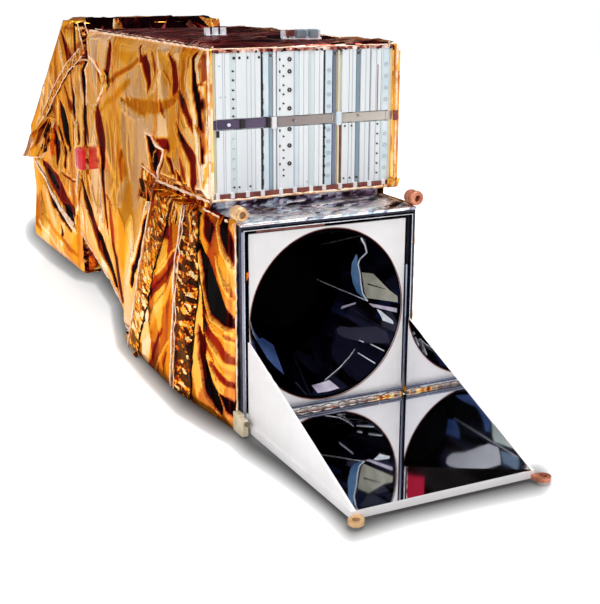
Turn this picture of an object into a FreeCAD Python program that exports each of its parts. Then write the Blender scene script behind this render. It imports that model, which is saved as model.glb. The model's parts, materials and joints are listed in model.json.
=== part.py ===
"""Scanning infrared radiometer of a weather satellite, with its passive cooler and earth shield.

Frame: +X to the right seen from the cooler's mouth, +Y from the mouth towards the scanner, +Z up.
The origin is the centre of the four mounting feet's holes, in the plane that the feet stand on.
Lengths are millimetres.
"""
import FreeCAD, Part
import Sketcher
import os

V = FreeCAD.Vector
doc = FreeCAD.newDocument("Radiometer")

# ---------------------------------------------------------------- driving sizes
# alias, value, what it is
SIZES = [
    ("body_wider", 18.0, "electronics, optics and scanner over their blankets, wider than the cooler"),
    ("blanket_t", 6.0, "thickness of a quilted blanket"),
    ("skin_t", 3.0, "thickness of a machined housing wall"),
    ("foot_dx", 46.0, "distance between feet, left to right"),
    ("foot_dy", 464.0, "distance between feet, front to back"),
    ("foot_hole_r", 3.25, "radius of a mounting hole"),
    ("foot_hole_deep", 11.0, "depth of a mounting hole"),
    ("foot_w", 30.0, "width of a foot"),
    ("foot_d", 34.0, "length of a foot"),
    ("mouth_y", -300.0, "plane of the cooler's bezel"),
    ("cooler_w", 194.0, "cooler housing, width"),
    ("cooler_h", 193.0, "cooler housing, height"),
    ("cooler_d", 262.0, "cooler housing, depth with its bezel"),
    ("cooler_z", 15.5, "height of the cooler housing above the floor"),
    ("bezel_lip", 2.0, "width of the bezel's lip"),
    ("bezel_d", 8.0, "depth of the bezel"),
    ("slot_w", 7.5, "side slots that the shield's wings swing into"),
    ("slot_end", 3.0, "room past the end of a wing in its slot"),
    ("radiator_t", 2.0, "thickness of the first stage radiator plate"),
    ("radiator_set", 4.0, "radiator plate behind the bezel's front"),
    ("radiator_low", 5.0, "radiator plate above the bottom of the housing"),
    ("radiator_top", 13.0, "radiator plate below the top of the housing"),
    ("mouth_rim", 2.0, "radiator plate left beside the cone's mouth"),
    ("throat_r", 42.0, "radius of the cone's throat"),
    ("cone_d", 104.0, "depth of the cone"),
    ("cone_t", 1.5, "thickness of the cone"),
    ("patch_t", 4.0, "thickness of the black patch"),
    ("patch_gap", 1.5, "gap round the patch"),
    ("post_w", 12.0, "width of a post that holds the radiator plate"),
    ("deck_t", 2.5, "silvered film and its tray on the cooler's deck"),
    ("elec_y", -227.5, "front edge of the electronics sleeve"),
    ("elec_d", 397.5, "depth of the electronics sleeve"),
    ("elec_step", 11.5, "bottom of the electronics sleeve above the cooler's top"),
    ("elec_h", 148.0, "height of the electronics sleeve"),
    ("elec_set", 3.0, "electronics housing behind the sleeve's front edge"),
    ("module_d", 60.0, "depth of a circuit module"),
    ("module_gap", 0.4, "gap between two modules"),
    ("module_set", 2.0, "module faces behind the housing's front edge"),
    ("strap_h", 9.0, "height of a retaining strap"),
    ("strap_t", 2.0, "thickness of a retaining strap"),
    ("strap_gap", 3.0, "gap between two straps"),
    ("strap_z", 295.0, "height of the middle of the straps"),
    ("optics_low", 20.0, "underside of the optics housing at its front"),
    ("optics_rise", 72.0, "rise of that underside towards the scanner"),
    ("optics_top", 324.0, "top of the optics housing behind the electronics"),
    ("scan_y", 253.0, "front of the scanner over its blanket"),
    ("scan_d", 242.0, "depth of the scanner over its blankets"),
    ("scan_low", 35.0, "bottom of the scanner"),
    ("scan_top", 376.0, "ridge of the scanner"),
    ("ridge_d", 35.0, "depth of the flat ridge"),
    ("knee_z", 217.0, "height where the sloped back becomes upright"),
    ("axis_z", 178.0, "height of the optical and scan axis"),
    ("beam_r", 70.0, "radius of the scan mirror seen along the axis"),
    ("mirror_t", 12.0, "thickness of the scan mirror"),
    ("mirror_y", 352.0, "place of the scan mirror on its axis"),
    ("hub_r", 20.0, "radius of the mirror's hub"),
    ("shaft_r", 8.0, "radius of the scan shaft"),
    ("motor_r", 30.0, "radius of the scan motor"),
    ("motor_d", 34.0, "length of the scan motor inside the housing"),
    ("motor_cap_r", 34.0, "radius of the motor's outer cap"),
    ("motor_cap_d", 16.0, "length of the cap outside the housing"),
    ("shaft_gap", 0.05, "running gap of a shaft or pin"),
    ("window_d", 150.0, "length of the scanner's side window"),
    ("window_h", 128.0, "height of the scanner's side window"),
    ("window_set", 41.0, "side window behind the front of the housing"),
    ("barrel_r", 74.0, "outer radius of the telescope barrel"),
    ("barrel_t", 2.5, "wall of the telescope barrel"),
    ("barrel_d", 76.0, "length of the telescope barrel"),
    ("primary_t", 8.0, "thickness of the primary mirror"),
    ("primary_hole", 15.0, "radius of the hole in the primary mirror"),
    ("secondary_r", 18.0, "radius of the secondary mirror's cell"),
    ("secondary_d", 14.0, "length of the secondary mirror's cell"),
    ("vane_t", 2.0, "thickness of a spider vane"),
    ("vane_d", 8.0, "depth of a spider vane"),
    ("hinge_y", -310.0, "hinge axis of the earth shield"),
    ("hinge_z", 7.0, "height of that axis"),
    ("pin_r", 2.0, "radius of a hinge pin"),
    ("pin_l", 14.0, "length of a hinge pin inside the shield"),
    ("bracket_t", 7.0, "thickness of a hinge bracket"),
    ("bracket_top", 26.0, "top of a hinge bracket"),
    ("bracket_low", 1.5, "gap under a hinge bracket"),
    ("bracket_nose", 7.0, "hinge bracket in front of its pin"),
    ("panel_in", 3.0, "shield's panel short of the cooler's sides"),
    ("panel_t", 7.5, "thickness of the shield's panel"),
    ("panel_over", 6.0, "closed panel past the cooler's top"),
    ("panel_back", 5.5, "shield's panel behind the hinge"),
    ("wing_t", 2.0, "thickness of a wing"),
    ("wing_h", 84.0, "height of a wing above the panel"),
    ("film_t", 0.5, "thickness of a mirror skin"),
    ("ring_r", 7.0, "outer radius of a latch ring"),
    ("ring_hole", 3.5, "radius of the hole in a latch ring"),
    ("ring_t", 4.0, "thickness of a latch ring"),
    ("ring_arm", 8.0, "width of the arm of a latch ring"),
    ("latch_in", 3.0, "latch axis inside the cooler's side"),
    ("latch_rise", 11.0, "latch axis above the deck"),
    ("latch_r", 7.5, "radius of a latch bushing"),
    ("latch_hole", 3.5, "radius of its bore"),
    ("latch_d", 18.0, "length of a latch bushing"),
    ("latch_deep", 9.0, "depth of its bore"),
    ("latch_saddle", 6.0, "width of the saddle under a bushing"),
    ("latch_out", 3.0, "latch bushing in front of the bezel"),
    ("skirt_low", 2.0, "cooler's side blanket above the floor"),
    ("skirt_over", 4.5, "top of the cooler's side blanket above the cooler's top"),
    ("skirt_hem", 2.5, "thickness of that blanket along its top"),
    ("skirt_front", 6.0, "how far it stands out at its lower front corner"),
    ("skirt_belly", 20.0, "how far it stands out at its widest"),
    ("skirt_rear", 15.0, "how far it stands out at its lower rear corner"),
    ("skirt_belly_y", 125.0, "its widest place behind the bezel"),
    ("skirt_past", 43.0, "left one, lower rear corner behind the cooler"),
    ("skirt_short", 31.0, "left one, upper rear corner before the cooler's back"),
    ("hem_y", 66.0, "front end of the long side blanket's rising hem"),
    ("hem_low", 8.0, "lowest edge of that blanket"),
    ("hem_z", 29.0, "start of its rising hem"),
    ("hem_bend_y", 117.0, "bend in that hem"),
    ("hem_bend_z", 52.0, "height of the bend"),
    ("cover_x", 36.0, "red cover, out from the blanket"),
    ("cover_y", 26.0, "red cover, length"),
    ("cover_z", 30.0, "red cover, height"),
    ("cover_at_y", 171.0, "middle of the red cover along the body"),
    ("cover_at_z", 207.0, "height of the middle of the red cover"),
    ("plug_rear_x", -26.0, "left end of the rear row of connectors"),
    ("plug_rear_y", -28.0, "front of that row"),
    ("plug_rear_w", 25.0, "width of that row"),
    ("plug_front_in", 32.0, "right end of the front row of connectors from the body's right side"),
    ("plug_front_y", -118.0, "front of that row"),
    ("plug_front_w", 46.0, "width of that row"),
    ("plug_h", 10.0, "height of the connectors on top"),
    ("plug_d", 12.0, "depth of the connectors on top"),
    ("plug_base", 2.0, "thickness of their base plates"),
    ("plug_post", 5.0, "width of their posts"),
]
sheet = doc.addObject("Spreadsheet::Sheet", "Sizes")
for row, (alias, value, what) in enumerate(SIZES, start=1):
    sheet.set("A%d" % row, what)
    sheet.set("B%d" % row, str(value))
    sheet.setAlias("B%d" % row, alias)
doc.recompute()

NAMES = sorted((alias for alias, _, _ in SIZES), key=len, reverse=True)


def bound(text):
    """The text of an expression, with each size's alias read from the sheet."""
    out, word = "", ""
    for letter in str(text) + " ":
        if letter.isalnum() or letter == "_":
            word += letter
            continue
        out += "Sizes." + word if word in NAMES else word
        out += letter
        word = ""
    return out.strip()


# places that several pieces share, as expressions of the sizes
HALF_BODY = "((cooler_w + body_wider) / 2)"
LEFT = "(-%s)" % HALF_BODY
WALL_X = "(%s - blanket_t)" % HALF_BODY
COOLER_RIGHT = "(cooler_w - %s)" % HALF_BODY
COOLER_MID = "(cooler_w / 2 - %s)" % HALF_BODY
COOLER_TOP = "(cooler_z + cooler_h)"
COOLER_BACK = "(mouth_y + cooler_d)"
RADIATOR_W = "(cooler_w - 2 * bezel_lip - 2 * slot_w)"
RADIATOR_H = "(cooler_h - radiator_low - radiator_top)"
CONE_Z = "(cooler_z + radiator_low + %s / 2)" % RADIATOR_H
MOUTH_R = "(min(%s; %s) / 2 - mouth_rim)" % (RADIATOR_W, RADIATOR_H)
CONE_Y = "(mouth_y + radiator_set + radiator_t)"
ELEC_LOW = "(%s + elec_step)" % COOLER_TOP
ELEC_BACK = "(elec_y + elec_d)"
ELEC_TOP = "(%s + elec_h)" % ELEC_LOW
SCAN_BACK = "(scan_y + scan_d)"
SLOPE = "((scan_top - knee_z) / (scan_d - ridge_d))"
PANEL_TOP = "(hinge_z + panel_t / 2)"
PANEL_W = "(cooler_w - 2 * panel_in)"
PANEL_L = "(%s + panel_over - hinge_z)" % COOLER_TOP
LATCH_Z = "(%s + deck_t + latch_rise)" % COOLER_TOP
RING_L = "(%s - hinge_z)" % LATCH_Z
LATCH_X = "(cooler_w / 2 - latch_in)"
WING_X = "(cooler_w / 2 - bezel_lip - slot_w / 2)"

parts = []


def place(thing, at):
    """Binds an object's position to three expressions."""
    for axis, text in zip("xyz", at):
        thing.setExpression("Placement.Base." + axis, bound(text))


def block(name, size, at):
    """A box of three sizes, its lowest corner at three places."""
    box = doc.addObject("Part::Box", name)
    for side, text in zip(("Length", "Width", "Height"), size):
        box.setExpression(side, bound(text))
    place(box, at)
    return box


TURN = {
    "x": FreeCAD.Rotation(V(0, 1, 0), 90),
    "y": FreeCAD.Rotation(V(1, 0, 0), -90),
    "z": FreeCAD.Rotation(),
}


def rod(name, radius, length, at, along):
    """A cylinder that starts at a place and runs along +X, +Y or +Z."""
    cylinder = doc.addObject("Part::Cylinder", name)
    cylinder.Placement = FreeCAD.Placement(V(), TURN[along])
    cylinder.setExpression("Radius", bound(radius))
    cylinder.setExpression("Height", bound(length))
    place(cylinder, at)
    return cylinder


def taper(name, first, last, length, at, along):
    """A cone from its first radius to its last."""
    cone = doc.addObject("Part::Cone", name)
    cone.Placement = FreeCAD.Placement(V(), TURN[along])
    cone.setExpression("Radius1", bound(first))
    cone.setExpression("Radius2", bound(last))
    cone.setExpression("Height", bound(length))
    place(cone, at)
    return cone


def less(name, base, *tools):
    """The base with each tool cut out of it."""
    for number, tool in enumerate(tools):
        cut = doc.addObject("Part::Cut", name + "_cut%d" % number)
        cut.Base = base
        cut.Tool = tool
        base = cut
    return base


def joined(name, *shapes):
    """Several shapes as one, fused where they touch and apart where they don't."""
    fuse = doc.addObject("Part::MultiFuse", name + "_joined")
    fuse.Shapes = list(shapes)
    fuse.Refine = True
    return fuse


PLANES = {"x": "YZ_Plane", "y": "XZ_Plane", "z": "XY_Plane"}


def profile(name, along, start, length, outline):
    """A sketched outline padded along X, Y or Z. Its points are (Y, Z), (X, Z) or (X, Y)."""
    body = doc.addObject("PartDesign::Body", name + "_body")
    sketch = body.newObject("Sketcher::SketchObject", name + "_sketch")
    plane = [f for f in body.Origin.OriginFeatures if f.Role == PLANES[along]][0]
    sketch.AttachmentSupport = [(plane, "")]
    sketch.MapMode = "FlatFace"
    # the XZ plane's normal points along -Y
    side = -1 if along == "y" else 1
    sketch.setExpression("AttachmentOffset.Base.z", bound("%d * (%s)" % (side, start)))
    draw(sketch, outline)
    pad = body.newObject("PartDesign::Pad", name + "_pad")
    pad.Profile = sketch
    pad.Reversed = along == "y"
    pad.setExpression("Length", bound(length))
    return body


def flat_outline(name, height, outline):
    """A sketched outline of (X, Y) points that lies level at a height."""
    sketch = doc.addObject("Sketcher::SketchObject", name)
    sketch.setExpression("Placement.Base.z", bound(height))
    draw(sketch, outline)
    return sketch


def draw(sketch, outline):
    """Draws a closed outline of straight lines and binds each corner to its two expressions."""
    corners = [tuple(number_from(text) for text in point) for point in outline]
    for here, there in zip(corners, corners[1:] + corners[:1]):
        sketch.addGeometry(Part.LineSegment(V(here[0], here[1], 0), V(there[0], there[1], 0)))
    for line in range(len(corners)):
        sketch.addConstraint(Sketcher.Constraint("Coincident", line, 2, (line + 1) % len(corners), 1))
    for line, (point, corner) in enumerate(zip(outline, corners)):
        for kind, text, value in zip(("DistanceX", "DistanceY"), point, corner):
            # measured from the sketch's origin to the start of the line
            index = sketch.addConstraint(Sketcher.Constraint(kind, -1, 1, line, 1, value))
            sketch.setExpression("Constraints[%d]" % index, bound(text))


def number_from(text):
    """The number that an expression of the sizes comes to."""
    probe = doc.getObject("Probe") or doc.addObject("App::FeaturePython", "Probe")
    if "Number" not in probe.PropertiesList:
        probe.addProperty("App::PropertyFloat", "Number")
    probe.setExpression("Number", bound(text))
    probe.recompute()
    return probe.Number


def part(label, thing):
    """Names the object that is one sub-part of the instrument."""
    thing.Label = label
    parts.append(thing)
    return thing


# ---------------------------------------------------------------- cooler
def make_cooler():
    shell = block("cooler_outer", ("cooler_w", "cooler_d - bezel_d", "cooler_h"),
                  (LEFT, "mouth_y + bezel_d", "cooler_z"))
    room = block("cooler_room", ("cooler_w - 2 * bezel_lip", "cooler_d - bezel_d", "cooler_h - 2 * skin_t"),
                 (LEFT + " + bezel_lip", "mouth_y + bezel_d - skin_t", "cooler_z + skin_t"))
    slots = [
        block("cooler_slot" + side,
              ("slot_w", "cooler_d", "2 * skin_t + 2 * bezel_lip"),
              ("%s %s %s - slot_w / 2" % (COOLER_MID, sign, WING_X), "mouth_y - slot_end",
               "cooler_z - skin_t"))
        for side, sign in (("_left", "-"), ("_right", "+"))
    ]
    for slot in slots:
        slot.setExpression("Width", bound("slot_end * 2 + wing_h + panel_t + panel_back - (mouth_y - hinge_y)"
                                          " + slot_end"))
    part("cooler_housing", less("cooler_housing", shell, room, *slots))

    outer = block("bezel_outer", ("cooler_w", "bezel_d", "cooler_h"), (LEFT, "mouth_y", "cooler_z"))
    hole = block("bezel_hole", ("cooler_w - 2 * bezel_lip", "bezel_d * 2", "cooler_h - 2 * bezel_lip"),
                 (LEFT + " + bezel_lip", "mouth_y - bezel_d / 2", "cooler_z + bezel_lip"))
    part("cooler_bezel", less("cooler_bezel", outer, hole, *slots))

    plate = block("radiator_blank", (RADIATOR_W, "radiator_t", RADIATOR_H),
                  ("%s - %s / 2" % (COOLER_MID, RADIATOR_W), "mouth_y + radiator_set",
                   "cooler_z + radiator_low"))
    mouth = rod("radiator_mouth", MOUTH_R, "radiator_t * 3",
                (COOLER_MID, "mouth_y + radiator_set - radiator_t", CONE_Z), "y")
    part("radiator_plate", less("radiator_plate", plate, mouth))

    outside = taper("cone_outside", MOUTH_R + " + cone_t", "throat_r + cone_t", "cone_d",
                    (COOLER_MID, CONE_Y, CONE_Z), "y")
    inside = taper("cone_inside", MOUTH_R, "throat_r", "cone_d", (COOLER_MID, CONE_Y, CONE_Z), "y")
    part("cooler_cone", less("cooler_cone", outside, inside))

    part("cooler_patch", rod("patch", "throat_r - patch_gap", "patch_t",
                             (COOLER_MID, CONE_Y + " + cone_d - patch_t", CONE_Z), "y"))
    part("cold_stage", rod("cold_stage", "throat_r + cone_t", "patch_t * 2",
                           (COOLER_MID, CONE_Y + " + cone_d", CONE_Z), "y"))
    top = "(cooler_z + cooler_h - skin_t)"
    foot = "(cooler_z + skin_t)"
    plate_top = "(cooler_z + radiator_low + %s)" % RADIATOR_H
    posts = []
    for side, sign in (("left", "-"), ("right", "+")):
        x = "%s %s %s / 3 - post_w / 2" % (COOLER_MID, sign, RADIATOR_W)
        posts.append(block("post_top_" + side, ("post_w", "post_w", "%s - %s + post_w" % (top, plate_top)),
                           (x, CONE_Y, plate_top + " - post_w")))
        posts.append(block("post_low_" + side, ("post_w", "post_w", "post_w"), (x, CONE_Y, foot)))
    part("radiator_posts", joined("radiator_posts", *posts))

    part("cooler_deck", profile("deck", "x", LEFT, "cooler_w", [
        ("mouth_y", COOLER_TOP),
        ("elec_y + elec_set + deck_t", COOLER_TOP),
        ("elec_y + elec_set + deck_t", ELEC_LOW),
        ("elec_y + elec_set", ELEC_LOW),
        ("elec_y + elec_set", COOLER_TOP + " + deck_t"),
        ("mouth_y", COOLER_TOP + " + deck_t"),
    ]))
    for side, sign in (("left", "-"), ("right", "+")):
        make_latch(side, sign)
        make_skirt(side, sign)
        make_hinge_bracket(side, sign)


def make_latch(side, sign):
    """A latch bushing on its saddle, at one top corner of the bezel."""
    name = "latch_" + side
    x = "%s %s %s" % (COOLER_MID, sign, LATCH_X)
    saddle = block(name + "_saddle", ("latch_saddle", "latch_d - latch_out", "latch_rise"),
                   (x + " - latch_saddle / 2", "mouth_y", COOLER_TOP + " + deck_t"))
    bush = rod(name + "_bush", "latch_r", "latch_d", (x, "mouth_y - latch_out", LATCH_Z), "y")
    bore = rod(name + "_bore", "latch_hole", "latch_deep * 2",
               (x, "mouth_y - latch_out - latch_deep", LATCH_Z), "y")
    part(name, less(name, joined(name, saddle, bush), bore))


# the lower and upper rear corners of each skirt, behind the cooler's back
SKIRT_REAR = {"left": ("skirt_past", "-skirt_short"), "right": ("0", "0")}


def make_skirt(side, sign):
    """The blanket that hangs at one side of the cooler and flares out towards the floor."""
    near = "%s %s cooler_w / 2" % (COOLER_MID, sign)
    front = "(mouth_y + bezel_d)"
    low_rear, top_rear = SKIRT_REAR[side]
    # height, rear corner, and how far out its front, belly and rear are
    sections = [
        ("skirt_low", low_rear, "skirt_front", "skirt_belly", "skirt_rear"),
        (COOLER_TOP + " + skirt_over", top_rear, "skirt_hem", "skirt_hem", "skirt_hem"),
    ]
    sketches = []
    for number, (height, rear, out_front, out_belly, out_rear) in enumerate(sections):
        rear = "%s + %s" % (COOLER_BACK, rear)
        sketches.append(flat_outline("skirt_%s_%d" % (side, number), height, [
            (near, front),
            ("%s %s %s" % (near, sign, out_front), front),
            ("%s %s %s" % (near, sign, out_belly), front + " + skirt_belly_y"),
            ("%s %s %s" % (near, sign, out_rear), rear),
            (near, rear),
        ]))
    loft = doc.addObject("Part::Loft", "skirt_%s_loft" % side)
    loft.Sections = sketches
    loft.Solid = True
    loft.Ruled = True
    part("blanket_cooler_" + side, loft)


def make_hinge_bracket(side, sign):
    """A bracket beside the bezel's foot, with the pin that carries the earth shield."""
    name = "hinge_bracket_" + side
    start = {"-": LEFT + " - bracket_t", "+": COOLER_RIGHT}[sign]
    plate = block(name + "_plate",
                  ("bracket_t", "mouth_y + bezel_d - hinge_y + bracket_nose", "bracket_top - bracket_low"),
                  (start, "hinge_y - bracket_nose", "bracket_low"))
    length = "(bracket_t + panel_in + pin_l)"
    pin_start = {"-": LEFT + " - bracket_t", "+": "%s + bracket_t - %s" % (COOLER_RIGHT, length)}[sign]
    pin = rod(name + "_pin", "pin_r", length, (pin_start, "hinge_y", "hinge_z"), "x")
    part(name, joined(name, plate, pin))


# ---------------------------------------------------------------- electronics
# bay, then its modules left to right: share of the bay's width, face behind the front
BAYS = [
    ("left", [(0.30, 0.0), (0.12, 2.0), (0.38, 0.0), (0.20, 4.0)]),
    ("middle", [(0.15, 0.0), (0.18, 0.0), (0.25, 1.0), (0.22, 0.0), (0.20, 4.0)]),
    ("right", [(0.28, 0.0), (0.08, 5.0), (0.22, 0.0), (0.24, 1.0), (0.18, 0.0)]),
]


def make_electronics():
    wide = "(2 * %s)" % WALL_X
    y = "(elec_y + elec_set)"
    low = ELEC_LOW
    tall = "(elec_h - blanket_t)"
    outer = block("electronics_outer", (wide, "elec_d - elec_set - blanket_t", tall),
                  ("-%s" % WALL_X, y, low))
    room = block("electronics_room",
                 (wide + " - 2 * skin_t", "elec_d - elec_set - blanket_t", tall + " - 2 * skin_t"),
                 ("-%s + skin_t" % WALL_X, y + " - skin_t", low + " + skin_t"))
    shelf = block("electronics_shelf", (wide, "skin_t", tall),
                  ("-%s" % WALL_X, y + " + module_set + module_d", low))
    part("electronics_housing", joined("electronics", less("electronics", outer, room), shelf))

    bay_w = "((%s - 2 * skin_t) / 3)" % wide
    for number, (bay, modules) in enumerate(BAYS):
        used = 0.0
        boxes = []
        for place_in_bay, (share, back) in enumerate(modules):
            boxes.append(block(
                "module_%s_%d" % (bay, place_in_bay),
                ("%s * %g - module_gap" % (bay_w, share), "module_d - %g" % back,
                 tall + " - 2 * skin_t - 2 * module_gap"),
                ("-%s + skin_t + %s * %g + module_gap / 2" % (WALL_X, bay_w, number + used),
                 y + " + module_set + %g" % back, low + " + skin_t + module_gap")))
            used += share
        part("modules_" + bay, joined("modules_" + bay, *boxes))

    straps = [
        block("strap_%d" % number, (bay_w + " - strap_gap", "strap_t", "strap_h"),
              ("-%s + skin_t + %s * %d + strap_gap / 2" % (WALL_X, bay_w, number),
               y + " + module_set - strap_t", "strap_z - strap_h / 2"))
        for number in range(len(BAYS))
    ]
    part("module_straps", joined("module_straps", *straps))

    part("blanket_top", block("blanket_top", (wide, "elec_d - blanket_t", "blanket_t"),
                              ("-%s" % WALL_X, "elec_y", ELEC_TOP + " - blanket_t")))
    part("blanket_back", block("blanket_back", (wide, "blanket_t", ELEC_TOP + " - optics_top - blanket_t"),
                               ("-%s" % WALL_X, ELEC_BACK + " - blanket_t", "optics_top + blanket_t")))


# label, sizes of its place and width, and its posts, each at a share of the free width
PLUGS = [
    ("top_plug_rear", "plug_rear_x", "plug_rear_y", "plug_rear_w", ("0", "1/2", "1")),
    ("top_plug_front", HALF_BODY + " - plug_front_in - plug_front_w", "plug_front_y", "plug_front_w",
     ("0", "1/4", "1/2", "3/4", "1")),
]


def make_plugs():
    """Connector blocks that stand on the electronics."""
    for label, x, y, width, posts in PLUGS:
        base = block(label + "_base", (width, "plug_d", "plug_base"), (x, y, ELEC_TOP))
        teeth = [
            block(label + "_post", ("plug_post", "plug_d / 2", "plug_h"),
                  ("%s + (%s - plug_post) * %s" % (x, width, share), y + " + plug_d / 4", ELEC_TOP))
            for share in posts
        ]
        part(label, joined(label, base, *teeth))


# ---------------------------------------------------------------- optics
def make_optics():
    def outline(wall, back):
        """The optics housing seen from the side, a wall's thickness smaller when asked."""
        return [
            (COOLER_BACK + " + %s" % wall, "optics_low + %s" % wall),
            ("scan_y", "optics_low + optics_rise + %s" % wall),
            (back, "optics_low + optics_rise + %s" % wall),
            (back, "optics_top - %s" % wall),
            (ELEC_BACK + " + %s" % wall, "optics_top - %s" % wall),
            (ELEC_BACK + " + %s" % wall, ELEC_LOW + " - %s" % wall),
            (COOLER_BACK + " + %s" % wall, ELEC_LOW + " - %s" % wall),
        ]

    solid = profile("optics_outer", "x", "-" + WALL_X, "2 * " + WALL_X, outline("0", "scan_y + blanket_t"))
    room = profile("optics_room", "x", "-%s + skin_t" % WALL_X, "2 * %s - 2 * skin_t" % WALL_X,
                   outline("skin_t", "scan_y + 2 * blanket_t"))
    part("optics_housing", less("optics_housing", solid, room))

    part("blanket_gap_top", block("blanket_step", ("2 * " + WALL_X, "scan_y - %s" % ELEC_BACK, "blanket_t"),
                                  ("-" + WALL_X, ELEC_BACK, "optics_top")))
    hem = [
        ("elec_y", ELEC_LOW),
        ("elec_y", ELEC_TOP),
        (ELEC_BACK, ELEC_TOP),
        (ELEC_BACK, "optics_top + blanket_t"),
        ("scan_y", "optics_top + blanket_t"),
        ("scan_y", "optics_low + optics_rise"),
        ("hem_bend_y", "hem_bend_z"),
        ("hem_y", "hem_z"),
        ("hem_y", "hem_low"),
        (COOLER_BACK, "hem_low"),
        (COOLER_BACK, ELEC_LOW),
    ]
    for side, start in (("left", LEFT), ("right", WALL_X)):
        part("blanket_body_" + side, profile("blanket_body_" + side, "x", start, "blanket_t", hem))


def make_feet():
    """Two low feet under the cooler and two tall ones under the optics."""
    for row, y in (("front", "-foot_dy / 2"), ("rear", "foot_dy / 2")):
        feet = []
        holes = []
        for side, sign in (("left", "-"), ("right", "")):
            name = "foot_%s_%s" % (row, side)
            x = sign + "foot_dx / 2"
            if row == "front":
                feet.append(block(name, ("foot_w", "foot_d", "cooler_z"),
                                  (x + " - foot_w / 2", y + " - foot_d / 2", "0")))
            else:
                under = "optics_low + optics_rise * (%s %s foot_d / 2 - %s) / (scan_y - %s)"
                feet.append(profile(name, "x", x + " - foot_w / 2", "foot_w", [
                    (y + " - foot_d / 2", "0"),
                    (y + " + foot_d / 2", "0"),
                    (y + " + foot_d / 2", under % (y, "+", COOLER_BACK, COOLER_BACK)),
                    (y + " - foot_d / 2", under % (y, "-", COOLER_BACK, COOLER_BACK)),
                ]))
            holes.append(rod(name + "_hole", "foot_hole_r", "foot_hole_deep * 2",
                             (x, y, "-foot_hole_deep"), "z"))
        part("feet_" + row, less("feet_" + row, joined("feet_" + row, *feet), *holes))


# ---------------------------------------------------------------- scanner
def make_scanner():
    def outline(wall, low):
        """The scanner seen from the side, inside its blankets and a wall's thickness smaller."""
        drop = "(%s) * sqrt(1 + %s * %s)" % (wall, SLOPE, SLOPE)
        return [
            ("scan_y + %s" % wall, low),
            (SCAN_BACK + " - (%s)" % wall, low),
            (SCAN_BACK + " - (%s)" % wall, "knee_z + %s * (%s) - %s" % (SLOPE, wall, drop)),
            ("scan_y + ridge_d + (%s - (%s)) / %s" % (wall, drop, SLOPE), "scan_top - (%s)" % wall),
            ("scan_y + %s" % wall, "scan_top - (%s)" % wall),
        ]

    inner_wall = "(blanket_t + skin_t)"
    shell = profile("scanner_outer", "x", "-" + WALL_X, "2 * " + WALL_X, outline("blanket_t", "scan_low"))
    room = profile("scanner_room", "x", "-%s + skin_t" % WALL_X, "2 * %s - 2 * skin_t" % WALL_X,
                   outline(inner_wall, "scan_low - skin_t"))
    port = rod("scanner_port", "barrel_r", "4 * skin_t", ("0", "scan_y", "axis_z"), "y")
    window = block("scanner_window", ("4 * blanket_t", "window_d", "window_h + skin_t"),
                   (WALL_X + " - 2 * blanket_t", "scan_y + window_set", "scan_low - skin_t"))
    part("scanner_housing", less("scanner_housing", shell, room, port, window))

    side_outline = outline("0", "scan_low")
    part("blanket_scanner_left", profile("blanket_scanner_left", "x", LEFT, "blanket_t", side_outline))
    cloth = profile("blanket_scanner_right", "x", WALL_X, "blanket_t", side_outline)
    part("blanket_scanner_right", less("blanket_scanner_right", cloth, window))

    over = outline("0", "scan_low")
    under = outline("blanket_t", "scan_low")
    part("blanket_scanner_slope", profile("blanket_slope", "x", "-" + WALL_X, "2 * " + WALL_X, [
        over[4], over[3], over[2],
        (SCAN_BACK, "knee_z + %s * blanket_t - blanket_t * sqrt(1 + %s * %s)" % (SLOPE, SLOPE, SLOPE)),
        under[2], under[3], under[4],
        ("scan_y", "scan_top - blanket_t"),
    ]))
    rear_top = "knee_z + %s * blanket_t - blanket_t * sqrt(1 + %s * %s)" % (SLOPE, SLOPE, SLOPE)
    rear = block("blanket_rear", ("2 * " + WALL_X, "blanket_t", rear_top + " - scan_low"),
                 ("-" + WALL_X, SCAN_BACK + " - blanket_t", "scan_low"))
    cap_hole = rod("blanket_rear_hole", "motor_cap_r + 1", "blanket_t * 3",
                   ("0", SCAN_BACK + " - 2 * blanket_t", "axis_z"), "y")
    part("blanket_scanner_rear", less("blanket_scanner_rear", rear, cap_hole))

    wide = "2 * " + WALL_X
    low_front = block("blanket_front_low", (wide, "blanket_t", "optics_low + optics_rise - scan_low"),
                      ("-" + WALL_X, "scan_y", "scan_low"))
    high_front = block("blanket_front_high", (wide, "blanket_t", "scan_top - 2 * blanket_t - optics_top"),
                       ("-" + WALL_X, "scan_y", "optics_top + blanket_t"))
    part("blanket_scanner_front", joined("blanket_scanner_front", low_front, high_front))

    make_motor()
    make_scan_mirror()
    make_telescope()


def make_motor():
    back = "(%s - blanket_t - skin_t)" % SCAN_BACK
    can = rod("motor_can", "motor_r", "motor_d", ("0", back + " - motor_d", "axis_z"), "y")
    bore = rod("motor_bore", "shaft_r + shaft_gap", "motor_d * 0.8",
               ("0", back + " - motor_d * 1.2", "axis_z"), "y")
    part("scan_motor", less("scan_motor", can, bore))
    seat = ("0", SCAN_BACK + " - blanket_t", "axis_z")
    cap = rod("motor_cap_disc", "motor_cap_r", "motor_cap_d", seat, "y")
    crown = rod("motor_crown", "motor_cap_r * 0.6", "motor_cap_d * 1.4", seat, "y")
    part("motor_cap", joined("motor_cap", cap, crown))


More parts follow.
